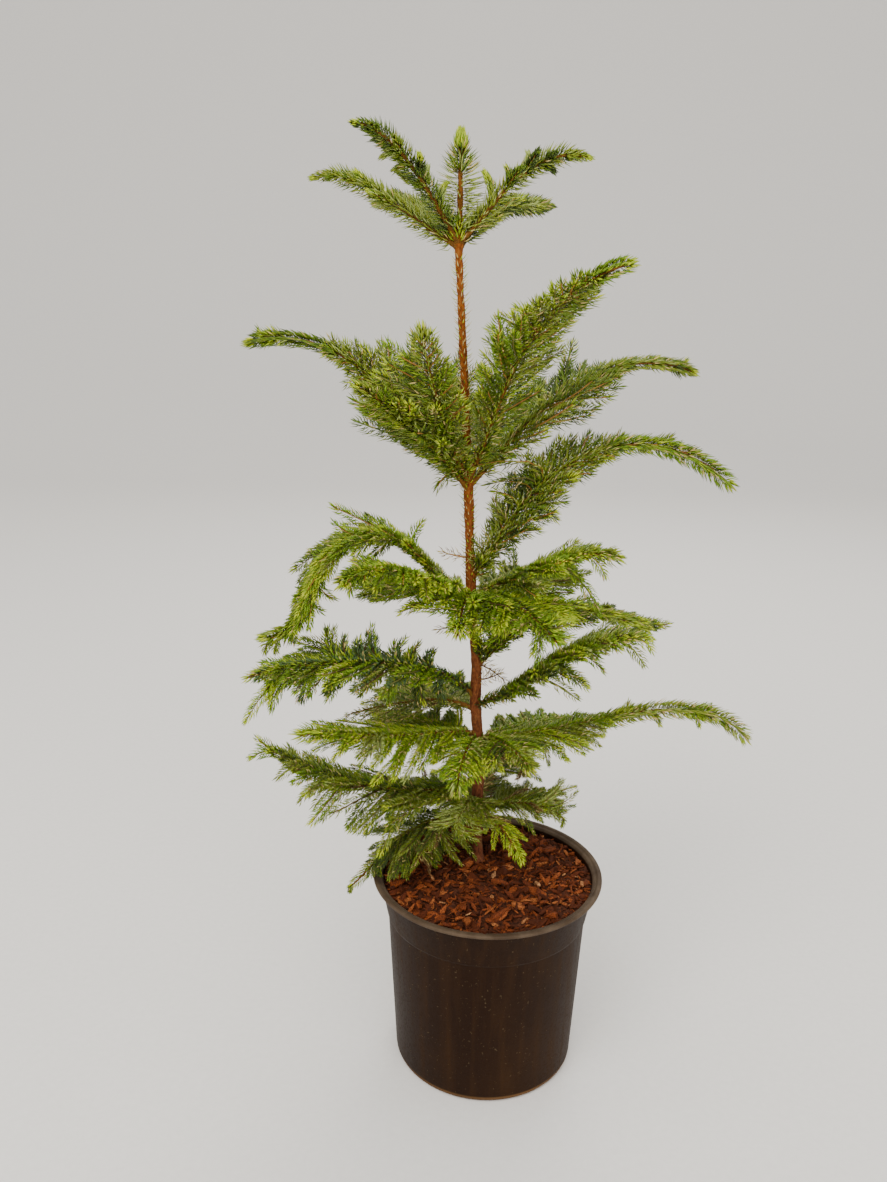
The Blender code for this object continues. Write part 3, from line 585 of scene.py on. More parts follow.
def pot_finish():
    """Warm brown-black moulded plastic: faint upright streaks, dust and specks, and a paler greenish lip,
    which is a painted highlight, in patches.
    """
    made = Finish("pot_plastic", (0.020, 0.009, 0.003), 0.6, Specular_IOR_Level=0.07)
    here = made.place()
    streaks = made.noise(made.place((1.0, 1.0, 0.06)), 110.0, 4.0)
    clouds = made.noise(here, 9.0, 4.0)
    specks = made.noise(here, 420.0, 2.0)
    height = made.node("ShaderNodeSeparateXYZ", {}, {0: here}, "Z")
    dust = (made.between(streaks, 0.46, 0.74) * 0.55 + made.between(clouds, 0.45, 0.75) * 0.5).clamped()
    body = made.mix(dust, (0.0125, 0.0046, 0.0014), (0.031, 0.0135, 0.0042))
    body = made.mix(made.between(specks, 0.66, 0.74) * 0.35, body, (0.13, 0.095, 0.05))
    # Painted highlight: the lip is paler, in patches
    lip = made.between(height, POT_HEIGHT - POT_LIP_DEPTH - 0.0008, POT_HEIGHT - POT_LIP_DEPTH + 0.0004)
    lip_highlight_patches = made.between(made.noise(here, 60.0, 5.0), 0.35, 0.62)
    body = made.mix(lip * (0.45 + 0.5 * lip_highlight_patches), body, (0.090, 0.062, 0.040))
    foot = 1.0 - made.between(height, 0.0045, 0.0060)
    body = made.mix(foot * (0.4 + 0.5 * made.between(clouds, 0.35, 0.6)), body, (0.115, 0.058, 0.022))
    shine = 0.48 + 0.20 * dust + 0.12 * made.between(specks, 0.5, 0.7)
    return made.paint(body, shine, streaks * 0.6 + specks * 0.4, 0.00025)


def bed_finish():
    """Dark, moist potting mix under the chips."""
    made = Finish("mulch_bed", (0.06, 0.022, 0.012), 0.9, Specular_IOR_Level=0.1)
    grain = made.noise(made.place(), 320.0, 5.0)
    colour = made.ramp(grain, [(0.3, (0.012, 0.005, 0.003)), (0.62, (0.085, 0.028, 0.014))])
    return made.paint(colour, None, grain, 0.002)


def chip_finish():
    """Bark chips: each has its own red-brown, from its tint, with fine darker grain."""
    made = Finish("bark_chips", (0.20, 0.058, 0.020), 0.7, Specular_IOR_Level=0.12)
    tint = made.attribute("tint")
    grain = made.noise(made.place(), 900.0, 4.0, 0.65)
    stops = [
        (0.0, (0.030, 0.008, 0.003)),
        (0.40, (0.120, 0.027, 0.008)),
        (0.70, (0.270, 0.062, 0.014)),
        (0.92, (0.400, 0.130, 0.036)),
        (1.0, (0.520, 0.260, 0.115)),
    ]
    colour = made.ramp(tint, stops)
    colour = made.mix(made.between(grain, 0.34, 0.58), (0.045, 0.012, 0.005), colour)
    return made.paint(colour, 0.6 + 0.3 * grain, grain, 0.0008)


def bark_finish():
    """Orange-brown bark, redder and darker near the foot, olive on boughs, with a painted highlight on its
    scales' tips and painted shade in the hollows between them.
    """
    made = Finish("bark", (0.21, 0.085, 0.035), 0.8, Specular_IOR_Level=0.12)
    here = made.place()
    height = made.node("ShaderNodeSeparateXYZ", {}, {0: here}, "Z")
    flakes = made.noise(made.place((1.0, 1.0, 0.35)), 900.0, 4.0)
    patches = made.noise(here, 60.0, 3.0)
    relief = made.attribute("relief")
    low = made.ramp(flakes, [(0.3, (0.050, 0.014, 0.007)), (0.7, (0.190, 0.060, 0.025))])
    high = made.ramp(flakes, [(0.3, (0.120, 0.028, 0.005)), (0.7, (0.27, 0.080, 0.010))])
    young = made.ramp(flakes, [(0.3, (0.070, 0.030, 0.005)), (0.7, (0.210, 0.100, 0.015))])
    up = made.between(height, 0.22, 0.56)
    colour = made.mix(up, low, high)
    colour = made.mix(made.attribute("young") * 0.85, colour, young)
    # Painted highlight: the scales' raised tips are paler, more so higher up
    colour = made.mix(made.between(relief, 0.62, 0.95) * (0.08 + 0.20 * up), colour, (0.46, 0.19, 0.035))
    # Painted shade: the hollows between the scales are darker
    colour = made.mix(made.between(relief, 0.40, 0.10) * 0.6, colour, (0.055, 0.018, 0.008))
    colour = made.mix(made.between(patches, 0.60, 0.72) * 0.25, colour, (0.12, 0.11, 0.03))
    return made.paint(colour, 0.9 - 0.25 * flakes, flakes, 0.0006)


def floor_finish():
    """A plain pale floor and backdrop with a faint, fine grain."""
    made = Finish("floor", (0.76, 0.74, 0.71), 0.9, Specular_IOR_Level=0.2)
    grain = made.noise(made.place(), 160.0, 3.0)
    return made.paint(made.mix(grain, (0.72, 0.70, 0.67), (0.80, 0.78, 0.75)))


def add_mesh(name, points, faces, finishes, smooth=True, slots=None):
    """A mesh object at the origin from an array of points and an array of faces of equal corner counts."""
    mesh = bpy.data.meshes.new(name)
    points = np.ascontiguousarray(points, np.float32)
    faces = np.ascontiguousarray(faces, np.int32)
    corners = faces.shape[1]
    mesh.vertices.add(len(points))
    mesh.vertices.foreach_set("co", points.ravel())
    mesh.loops.add(faces.size)
    mesh.loops.foreach_set("vertex_index", faces.ravel())
    mesh.polygons.add(len(faces))
    mesh.polygons.foreach_set("loop_start", np.arange(len(faces), dtype=np.int32) * corners)
    for finish in finishes:
        mesh.materials.append(finish)
    if slots is not None:
        mesh.polygons.foreach_set("material_index", np.ascontiguousarray(slots, np.int32))
    mesh.update(calc_edges=True)
    mesh.validate()
    mesh.polygons.foreach_set("use_smooth", np.full(len(mesh.polygons), smooth))
    made = bpy.data.objects.new(name, mesh)
    bpy.context.scene.collection.objects.link(made)
    return made


def add_attribute(piece, name, values):
    """A number on each point of the piece, which its finish reads."""
    held = piece.data.attributes.new(name, "FLOAT", "POINT")
    held.data.foreach_set("value", np.ascontiguousarray(values, np.float32))


def settle(piece, slot, *nodes):
    """The piece rides on the one body and stands for its CAD nodes, which are hidden. The slot is not used."""
    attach(piece, "root")
    if nodes:
        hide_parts(*nodes)


def smooth_step(x):
    """0 below 0, 1 above 1, and an even S curve between them."""
    x = np.clip(x, 0.0, 1.0)
    return x * x * (3 - 2 * x)


def unit(vectors):
    """The vectors, each divided by its length."""
    return vectors / np.maximum(np.linalg.norm(vectors, axis=-1, keepdims=True), 1e-9)


def ripple(points, wavelength, seed):
    """Smooth unevenness of about -1 to 1: the mean of six sine waves that run in scattered directions."""
    random = np.random.default_rng(seed)
    waves = 6
    ways = unit(random.normal(size=(waves, 3)))
    ways *= 2 * math.pi / (wavelength * random.uniform(0.6, 1.5, (waves, 1)))
    phase = random.uniform(0, 2 * math.pi, waves)
    return np.sin(points @ ways.T + phase).mean(axis=-1) * 1.8


def full_turn(count):
    """Even angles round a whole turn, without its last, which is its first again."""
    return np.linspace(0, 2 * math.pi, count, endpoint=False)


def flat_circle(count):
    """Level directions at even angles round the vertical."""
    turn = full_turn(count)
    return np.stack([np.cos(turn), np.sin(turn), np.zeros(count)], -1)


def frame_across(way):
    """Two directions square to each heading and to each other. The first is level, unless it is steep."""
    steep = np.abs(way[..., 2:3]) > STEEP
    side = unit(np.cross(way, np.where(steep, (1.0, 0.0, 0.0), (0.0, 0.0, 1.0))))
    return side, np.cross(side, way)


def rings_across(way, sides):
    """Directions at even angles round each heading, clockwise as seen along it."""
    side, up = frame_across(way)
    turn = full_turn(sides)[:, None]
    return np.cos(turn) * side[..., None, :] + np.sin(turn) * up[..., None, :]


def grid_faces(rows, columns, closed=True):
    """Four-cornered faces over a grid of points, with the last column joined to the first if closed."""
    row = np.arange(rows - 1)[:, None] * columns
    column = np.arange(columns if closed else columns - 1)[None, :]
    after = (column + 1) % columns
    corners = [row + column, row + after, row + columns + after, row + columns + column]
    return np.stack(corners, -1).reshape(-1, 4)


def tube_points(line, ring, radius):
    """Points of closed tubes: at each point of a line its ring times its radius, then the line's two ends."""
    skin = line[..., None, :] + ring * radius[..., None]
    return np.concatenate([skin.reshape(*line.shape[:-2], -1, 3), line[..., [0, -1], :]], -2)


def tube_faces(rows, sides, count=1):
    """Triangles of closed tubes, in the order of tube_points: split quads, and a fan round each end.

    They point outwards where the rings run anticlockwise as seen from the last end, and inwards elsewhere.
    """
    quads = grid_faces(rows, sides)
    k = np.arange(sides)
    after = (k + 1) % sides
    last = (rows - 1) * sides
    foot = np.stack([k, np.full(sides, rows * sides), after], 1)
    tip = np.stack([last + after, np.full(sides, rows * sides + 1), last + k], 1)
    faces = np.concatenate([quads[:, [0, 1, 2]], quads[:, [0, 2, 3]], foot, tip])
    starts = np.arange(count) * (rows * sides + 2)
    return (faces + starts[:, None, None]).reshape(-1, 3)


def trunk_centre(height):
    """The point of the trunk's centre line at each height."""
    heights, lean, _ = np.array(TRUNK_ROWS).T
    height = np.asarray(height, float)
    return np.stack([np.interp(height, heights, lean), np.full_like(height, TRUNK_DEPTH), height], -1)


def trunk_radius(height):
    """The trunk's radius at each height, on straight runs between the rows."""
    heights, _, radii = np.array(TRUNK_ROWS).T
    return np.interp(height, heights, radii)


def rise_along(bough, part):
    """The angle above the level at parts of the length: the cubic through the four stated angles."""
    knots = np.linspace(0.0, 1.0, 4)
    total = np.zeros_like(part)
    for i, angle in enumerate(bough.rise):
        others = np.delete(knots, i)
        total += angle * np.prod([(part - k) / (knots[i] - k) for k in others], axis=0)
    return np.radians(total)


def along(bough, wanted):
    """Points and headings of the bough's curve at parts of its length, summed from its rise angles."""
    part = np.linspace(0.0, 1.0, CURVE_STEPS + 1)
    rise = rise_along(bough, part)
    turn = math.radians(bough.azimuth)
    heading = np.stack([np.cos(rise) * math.cos(turn), np.cos(rise) * math.sin(turn), np.sin(rise)], 1)
    step = (heading[1:] + heading[:-1]) / 2 * bough.length / CURVE_STEPS
    points = trunk_centre(bough.height) + np.vstack([np.zeros(3), np.cumsum(step, axis=0)])
    place = np.stack([np.interp(wanted, part, points[:, k]) for k in range(3)], -1)
    way = np.stack([np.interp(wanted, part, heading[:, k]) for k in range(3)], -1)
    return place, unit(way)


def fan_shape(bough, part):
    """How full the fan is, 0 to 1: a sine arch from the end of the bare stretch, widest at the crest."""
    first = bough.bare / bough.length
    across = np.clip((part - first) / (bough.tail - first), 0.0, 1.0)
    crest = (bough.crest - first) / (bough.tail - first)
    return np.sin(math.pi * across ** (math.log(0.5) / math.log(crest)))


def fan_frame(bough, part):
    """Place, heading and sideways direction of the fan at a part of the bough."""
    place, way = along(bough, part)
    turn = math.radians(bough.azimuth)
    roll = math.radians(bough.roll)
    level = np.array((-math.sin(turn), math.cos(turn), 0.0))
    return place, way, level * math.cos(roll) + np.cross(way, level) * math.sin(roll)


def tier(name):
    """The bough's whorl: the first word of its name, and for the top one whether it is at the back."""
    return "top_back" if name.startswith("top_back") else name.split("_")[0]


def pick_shade(mood, outwards, random):
    """A shade drawn from the mood's two lists, the far one the more likely the further out."""
    weights = MOODS[mood][1 if random.random() < outwards else 0]
    names = list(weights)
    share = np.array([weights[name] for name in names], float)
    return names[random.choice(len(names), p=share / share.sum())]


def side_shoot(bough, whorl, part, way_round, random):
    """A side shoot's curve. It leaves at the side angle, bends forward as it grows, and sags.

    Its length is what reaches the fan's outline: the reach there over the sine of its angle.
    """
    place, way, side = fan_frame(bough, part)
    angle = math.radians(whorl.angle + random.normal() * ANGLE_SCATTER)
    reach = bough.left if way_round > 0 else bough.right
    length = FIRST_LENGTH
    for _ in range(LENGTH_ROUNDS):
        end = min(part + length * math.cos(angle) / bough.length, bough.tail)
        width = reach * float(fan_shape(bough, end)) ** FAN_FULLNESS
        length = max(SHORTEST_SHOOT, (width + FAN_MARGIN) / math.sin(angle))
    length *= 1 + random.normal() * LENGTH_SCATTER
    grown = np.linspace(0.0, 1.0, SAMPLES)
    bend = angle - math.radians(SIDE_CURL) * grown[1:]
    step = length / (SAMPLES - 1)
    forward = np.concatenate([[0.0], np.cumsum(np.cos(bend))]) * step
    across = np.concatenate([[0.0], np.cumsum(np.sin(bend))]) * step
    curve = place + forward[:, None] * way + across[:, None] * side * way_round
    curve[:, 2] -= bough.droop * across**2 / reach
    lift = np.cross(way, side) * random.normal() * END_SCATTER * length
    return curve + np.outer(grown**1.5, lift), length


def blend(start, corner, end, t):
    """The curve of two straight blends: from the start towards the corner, and on to the end."""
    return start * (1 - t) ** 2 + corner * 2 * t * (1 - t) + end * t**2


def spray_curve(place, way, out):
    """A shoot that leaves between its bough's heading and its own way out, and bends to its end.

    The needles reach past its end, so it stops that much short of it.
    """
    reach = np.linalg.norm(out)
    corner = place + CORNER_PART * reach * unit(way + CORNER_LEAN * unit(out))
    end = place + out * max(LEAST_REACH, 1 - NEEDLES_PAST_END / reach)
    return blend(place, corner, end, np.linspace(0.0, 1.0, SAMPLES)[:, None])


def grow_bough(bough, shoots, random):
    """The bough's own shoot and its end, its side shoots left and right by turns, and its stand-out ones."""
    whorl = WHORLS.get(bough.name, WHORLS[tier(bough.name)])
    first = bough.bare / bough.length
    fresh_share = MOODS[bough.mood][2]
    stem = COVERS[whorl.side].length * STEM_SHARE

    def add(curve, outwards, fresh):
        shade = pick_shade(bough.mood, outwards, random)
        shoots.append(Shoot(curve, stem, whorl.side, shade, 0, random.random() < fresh))

    body, _ = along(bough, np.linspace(BODY_START, bough.tail, SAMPLES))
    last_part = 1 - NEEDLES_PAST_END / bough.length
    end, _ = along(bough, np.linspace(bough.tail - END_BEFORE_TAIL, last_part, SAMPLES))
    inner, outer = (pick_shade(bough.mood, outwards, random) for outwards in (INNER, OUTER))
    shoots.append(Shoot(body, BODY_RADIUS, whorl.bough, inner, 0.5 * first, 0))
    shoots.append(Shoot(end, END_RADIUS, whorl.end, outer, 0, 1))

    start = first * whorl.start
    count = max(2, int((bough.tail - start) * bough.length / whorl.gap) * 2)
    for k in range(count):
        share = (k + 0.5 + random.uniform(-0.3, 0.3)) / count
        part = start + share * (bough.tail - start) * FAN_END
        curve, length = side_shoot(bough, whorl, part, 1 if k % 2 else -1, random)
        outwards = PLACE_WEIGHT * part + (1 - PLACE_WEIGHT) * min(1.0, length / LONG_SHOOT)
        add(curve, outwards, fresh_share)

    for percent, *reach in SPRAYS.get(bough.name, ()):
        place, way = along(bough, percent / 100)
        reach = np.array(reach) / 1000
        for copy in range(REPEATS.get(bough.name, 1)):
            scatter = random.normal(0, REPEAT_SCATTER * (copy > 0), 3) * np.linalg.norm(reach)
            add(spray_curve(place, way, reach + scatter), percent / 100, fresh_share)

    per_metre, length, angle = END_SHOOTS.get(whorl.end, (0, 0, 0))
    for k in range(int(per_metre * (END_SHOOTS_COUNTED - bough.tail) * bough.length)):
        place, way, side = fan_frame(bough, random.uniform(bough.tail - END_SHOOTS_BEFORE, END_SHOOTS_LAST))
        turn = k * GOLDEN_ANGLE
        out = math.cos(turn) * side + math.sin(turn) * np.cross(side, way)
        lean = math.radians(angle + random.normal() * ANGLE_SCATTER)
        reach = (math.cos(lean) * way + math.sin(lean) * out) * length * random.uniform(*END_SHOOTS_SCATTER)
        add(spray_curve(place, way, reach), OUTER, 0.5)


def trunk_shoots():
    """The trunk's few dry needles and dry twigs, and the leading shoot's needles, which close at the top."""
    made = []
    for cover, shade, low, high in TRUNK_SHOOTS:
        line = trunk_centre(np.linspace(low, high, SAMPLES))
        made.append(Shoot(line, TRUNK_SHOOT_RADIUS, cover, shade, 0, cover == "leader_top"))
    for height, azimuth, length, rise in DRY_TWIGS:
        turn, lift = math.radians(azimuth), math.radians(rise)
        level = np.array((math.cos(turn), math.sin(turn), 0.0)) * math.cos(lift)
        line = spray_curve(trunk_centre(height), level, (level + (0, 0, math.sin(lift))) * length)
        made.append(Shoot(line, DRY_TWIG_RADIUS, "whisker", "brown", 0, 0))
    return made


def at_parts(curves, which, part):
    """Point and heading on each chosen curve at a part of its length, on straight runs between samples."""
    x = np.clip(part, 0, 1) * (SAMPLES - 1)
    low = np.minimum(x.astype(int), SAMPLES - 2)
    start, end = curves[which, low], curves[which, low + 1]
    return start + (end - start) * (x - low)[:, None], unit(end - start)


def needle_spots(shoots, covers, lengths, random):
    """The shoot of each needle, its part of the length, its place, and its shoot's and its outward heading.

    Needles stand round the shoot by even turns, from a scattered start. Fewer stand on its under side.
    """
    counts = np.maximum(FEWEST_NEEDLES, (lengths * covers.per_metre).astype(int))
    which = np.repeat(np.arange(len(shoots)), counts)
    order = np.concatenate([np.arange(n) for n in counts])
    part = (order + random.uniform(0.25, 0.75, len(order))) / counts[which]
    place, way = at_parts(np.array([shoot.curve for shoot in shoots]), which, part)
    side, up = frame_across(way)
    start = random.uniform(0, 2 * math.pi, len(shoots))
    turn = start[which] + order * np.radians(covers.turn)[which] + random.normal(0, ROW_SCATTER, len(order))
    out = np.cos(turn)[:, None] * side + np.sin(turn)[:, None] * up
    sparse = np.array([shoot.sparse for shoot in shoots])[which]
    kept = (part > sparse) | (random.random(len(part)) < SPARSE_SHARE)
    kept &= random.random(len(part)) > UNDERSIDE_LOSS * np.clip(-out[:, 2], 0, 1)
    return [values[kept] for values in (which, part, place, way, out)]


def needle_points(cover, before_tip, stem, place, way, out, random):
    """Each needle's foot on the bark, three points round its widest place, and its point.

    It leaves at the foot angle and leans forward to the point angle from its middle, so it is curved. Near
    the shoot's tip needles close up and are shorter.
    """
    count = len(place)
    near_end = 1 - smooth_step(before_tip / CLOSING_LENGTH)
    lean = 1 - TIP_CLOSING * near_end

    def heading(angle):
        angle = np.radians(angle + random.normal(0, NEEDLE_ANGLE_SCATTER, count)) * lean
        return np.cos(angle)[:, None] * way + np.sin(angle)[:, None] * out

    first, last = heading(cover.foot_angle), heading(cover.point_angle)
    length = cover.length * random.uniform(*NEEDLE_LENGTHS, count) * (1 - TIP_SHORTENING * near_end)
    half = (cover.width * random.uniform(*NEEDLE_WIDTHS, count) / 2)[:, None]
    foot = place + out * (stem * FOOT_DEPTH)[:, None]
    middle = foot + first * (WIDEST_PART * length)[:, None]
    point = middle + last * ((1 - WIDEST_PART) * length)[:, None]
    across = unit(np.cross(point - foot, out))
    keel = unit(np.cross(across, point - foot))
    left, right = middle + across * half, middle - across * half - keel * half * KEEL_DEPTH
    return np.stack([foot, left, right, middle + keel * half, point], 1)


def needle_shades(shoots, which, dry, lengths, before_tip, random):
    """Each needle's shade: its spray's, here and there lighter, darker or dry, and fresh at the end."""
    shade_number = SHADE_NAMES.index
    lighter, darker = (np.array([shade_number(row[k]) for row in SHADES.values()]) for k in (1, 2))
    shade = np.array([shade_number(shoot.shade) for shoot in shoots])[which]
    ends = np.array([shoot.fresh for shoot in shoots])[which]
    dice = random.random(len(which))
    shade = np.where(dice < LIGHTER_SHARE, lighter[shade], shade)
    shade = np.where(dice > 1 - DARKER_SHARE, darker[shade], shade)
    shade = np.where(random.random(len(which)) < dry, shade_number("straw"), shade)
    reach = np.minimum(FRESH_END, FRESH_PART * lengths) * random.uniform(0.3, 1.0, len(which))
    fresh = (ends > 0) & (before_tip < reach) & (dice < FRESH_SHARE)
    shade = np.where(fresh, shade_number("lime"), shade)
    return np.where(fresh & (dice < BUD_SHARE), shade_number("bud"), shade)


def needle_arrays(shoots, random):
    """Points, faces and shades of every needle on the shoots: spindles of five points and six faces."""
    curves = np.array([shoot.curve for shoot in shoots])
    lengths = np.linalg.norm(np.diff(curves, axis=1), axis=2).sum(axis=1)
    covers = Needles(*np.array([COVERS[shoot.cover] for shoot in shoots]).T)
    which, part, place, way, out = needle_spots(shoots, covers, lengths, random)
    cover = Needles(*(values[which] for values in covers))
    before_tip = (1 - part) * lengths[which]
    stem = np.array([shoot.radius for shoot in shoots])[which] * (1 - 0.6 * part)
    points = needle_points(cover, before_tip, stem, place, way, out, random)
    faces = (np.arange(len(which))[:, None, None] * 5 + np.array(SPINDLE_FACES)).reshape(-1, 3)
    shades = needle_shades(shoots, which, cover.dry, lengths[which], before_tip, random)
    return points.reshape(-1, 3), faces, np.repeat(shades, len(SPINDLE_FACES))


def build_foliage():
    """Every spray: side shoots grown on from the boughs, their stems and their needles.

    The needles of one whorl on one side of the trunk are one piece, and so are those of the top whorl.
    """
    finishes = []
    for name, (colour, _, _) in SHADES.items():
        finishes.append(Finish(f"needles_{name}", colour, 0.55, Specular_IOR_Level=0.28).material)
    groups = {}
    for bough in BOUGHS:
        half = "left" if math.cos(math.radians(bough.azimuth)) < 0 else "right"
        whole = "top" if bough.name.startswith("top") else f"{tier(bough.name)}_{half}"
        groups.setdefault(whole, []).append(bough)
    on_trunk = trunk_shoots()
    every_shoot = list(on_trunk)
    for index, (name, boughs) in enumerate(groups.items()):
        random = np.random.default_rng(SEED + index)
        shoots = []
        for bough in boughs:
            grow_bough(bough, shoots, random)
        nodes = [f"foliage_{bough.name}" for bough in boughs]
        every_shoot += shoots
        if name == "top":
            nodes.append("foliage_leader")
            shoots = shoots + on_trunk
        points, faces, shades = needle_arrays(shoots, random)
        assert len(faces) < MOST_PIECE_TRIANGLES
        made = add_mesh(f"needles_{name}", points, faces, finishes, True, shades)
        settle(made, "needles", *nodes)
    build_twigs(every_shoot)


def build_twigs(shoots):
    """The stems of the side shoots: thin tubes that taper to the tip, brown or green, amber high up."""
    rows, sides = 5, 5
    shoots = [shoot for shoot in shoots if shoot.radius < TWIG_LIMIT]
    brown = Finish("twig_brown", (0.12, 0.055, 0.016), 0.75).material
    green = Finish("twig_green", (0.14, 0.13, 0.016), 0.7).material
    amber = Finish("twig_amber", (0.34, 0.15, 0.022), 0.75).material
    picked = np.linspace(0, SAMPLES - 1, rows).round().astype(int)
    line = np.array([shoot.curve for shoot in shoots])[:, picked]
    radius = np.array([shoot.radius for shoot in shoots])[:, None] * np.linspace(1, TWIG_TAPER, rows)
    ring = rings_across(unit(np.gradient(line, axis=1)), sides)
    points = tube_points(line, ring, radius[..., None]).reshape(-1, 3)
    faces = tube_faces(rows, sides, len(shoots))[:, ::-1]
    kind = np.where(line[:, 0, 2] > AMBER_HEIGHT, 2, 0)
    kind[np.random.default_rng(SEED).random(len(shoots)) < 0.5] = 1
    slots = np.repeat(kind, len(faces) // len(shoots))
    made = add_mesh("twigs", points, faces, [brown, green, amber], True, slots)
    settle(made, "bark")


def bark_relief(points, turn, height):
    """Leaf-base scales: a lattice of lozenges round the stem, bent out of true and broken up by ripples.

    The lattice is the product of two slanted cosines, of the turn and of the height over the pitch.
    """
    u = turn * SCALES_ROUND / 2 + 1.5 * ripple(points, 0.011, 21)
    v = math.pi * height / SCALE_PITCH + 1.5 * ripple(points, 0.013, 22)
    lozenge = 0.5 + 0.5 * np.cos(u + v) * np.cos(u - v)
    flaky = 0.5 + 0.5 * ripple(points * (1, 1, 0.5), 0.0035, 23)
    share = np.clip(0.5 + 0.6 * ripple(points, 0.016, 24), 0.15, 0.85)
    return lozenge * share + flaky * (1 - share)


def with_ends(relief):
    """The relief of a tube's rings, and a middling one for the middles of its two ends."""
    return np.concatenate([relief.ravel(), [0.5, 0.5]])


def build_trunk():
    """The trunk: rings round its centre line, with scales, shallow furrows and a flared foot."""
    rows, sides = 760, 40
    height = np.linspace(TRUNK_ROWS[0][0], TRUNK_ROWS[-1][0], rows)[:, None]
    centre = trunk_centre(height[:, 0])
    around = flat_circle(sides)
    radius = trunk_radius(height)
    raw = centre[:, None, :] + around * radius[..., None]
    relief = bark_relief(raw, full_turn(sides), height)
    young = smooth_step((height - FULL_SCALES[0]) / FULL_SCALES[1])
    scales = TRUNK_SCALE_DEPTH * (relief - 0.45) * (0.55 + 0.45 * young)
    uneven = TRUNK_UNEVENNESS * ripple(raw * (1, 1, 0.4), 0.006, 3)
    furrows = FURROW_DEPTH * ripple(raw * (1, 1, 0.12), 0.0022, 4)
    points = tube_points(centre, around, radius + scales + uneven + furrows)
    made = add_mesh("trunk_bark", points, tube_faces(rows, sides), [bark_finish()])
    add_attribute(made, "relief", with_ends(relief))
    green = smooth_step((points[:, 2] - GREEN_STEM_HEIGHT) / GREEN_STEM_BLEND)
    add_attribute(made, "young", GREEN_STEM_SHARE * green)
    settle(made, "bark", "trunk")
    return made.data.materials[0]


def build_limbs(bark):
    """Every bough's stem, from inside the trunk's bark to near its tip, with the same scales."""
    rows, sides = 64, 12
    part = np.linspace(LIMB_START, LIMB_END, rows)[:, None]
    points, reliefs = [], []
    for index, bough in enumerate(BOUGHS):
        line, way = along(bough, part[:, 0])
        ring = rings_across(way, sides)
        foot = LIMB_RADIUS if bough.length > SHORT_LIMB else SHORT_LIMB_RADIUS
        collar = LIMB_COLLAR * np.exp(-part * bough.length / LIMB_COLLAR_LENGTH)
        radius = LIMB_TIP_RADIUS + (foot - LIMB_TIP_RADIUS) * (1 - part) ** 0.9 + collar
        raw = line[:, None, :] + ring * radius[..., None]
        relief = bark_relief(raw, full_turn(sides), part * bough.length)
        scaly = radius * (1 + LIMB_SCALE_DEPTH * (relief - 0.5))
        radius = scaly + LIMB_UNEVENNESS * ripple(raw, 0.005, index)
        points.append(tube_points(line, ring, radius))
        reliefs.append(with_ends(relief))
    faces = tube_faces(rows, sides, len(BOUGHS))[:, ::-1]
    made = add_mesh("bough_bark", np.concatenate(points), faces, [bark])
    relief = np.concatenate(reliefs)
    add_attribute(made, "relief", relief)
    add_attribute(made, "young", np.ones_like(relief))
    settle(made, "bark", *sorted(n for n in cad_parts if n.startswith("bough_")))


def lathe(profile, segments):
    """A closed profile of radius and height turned round the vertical, its last ring joined to its first."""
    radius, height = np.asarray(profile, float).T[..., None, None]
    rings = radius * flat_circle(segments) + height * (0.0, 0.0, 1.0)
    faces = grid_faces(len(profile) + 1, segments) % (len(profile) * segments)
    return rings.reshape(-1, 3), faces[:, ::-1]


def rounded(corners, radii, steps=6):
    """A path through the corners, each rounded by the curve of two straight blends over its radius."""
    corners = np.asarray(corners, float)
    path = [corners[0]]
    for before, corner, after, radius in zip(corners, corners[1:], corners[2:], radii):
        start = corner + unit(before - corner) * min(radius, 0.5 * np.linalg.norm(before - corner))
        end = corner + unit(after - corner) * min(radius, 0.5 * np.linalg.norm(after - corner))
        path += [blend(start, corner, end, t) for t in np.linspace(0, 1, steps)]
    path.append(corners[-1])
    return np.array(path)


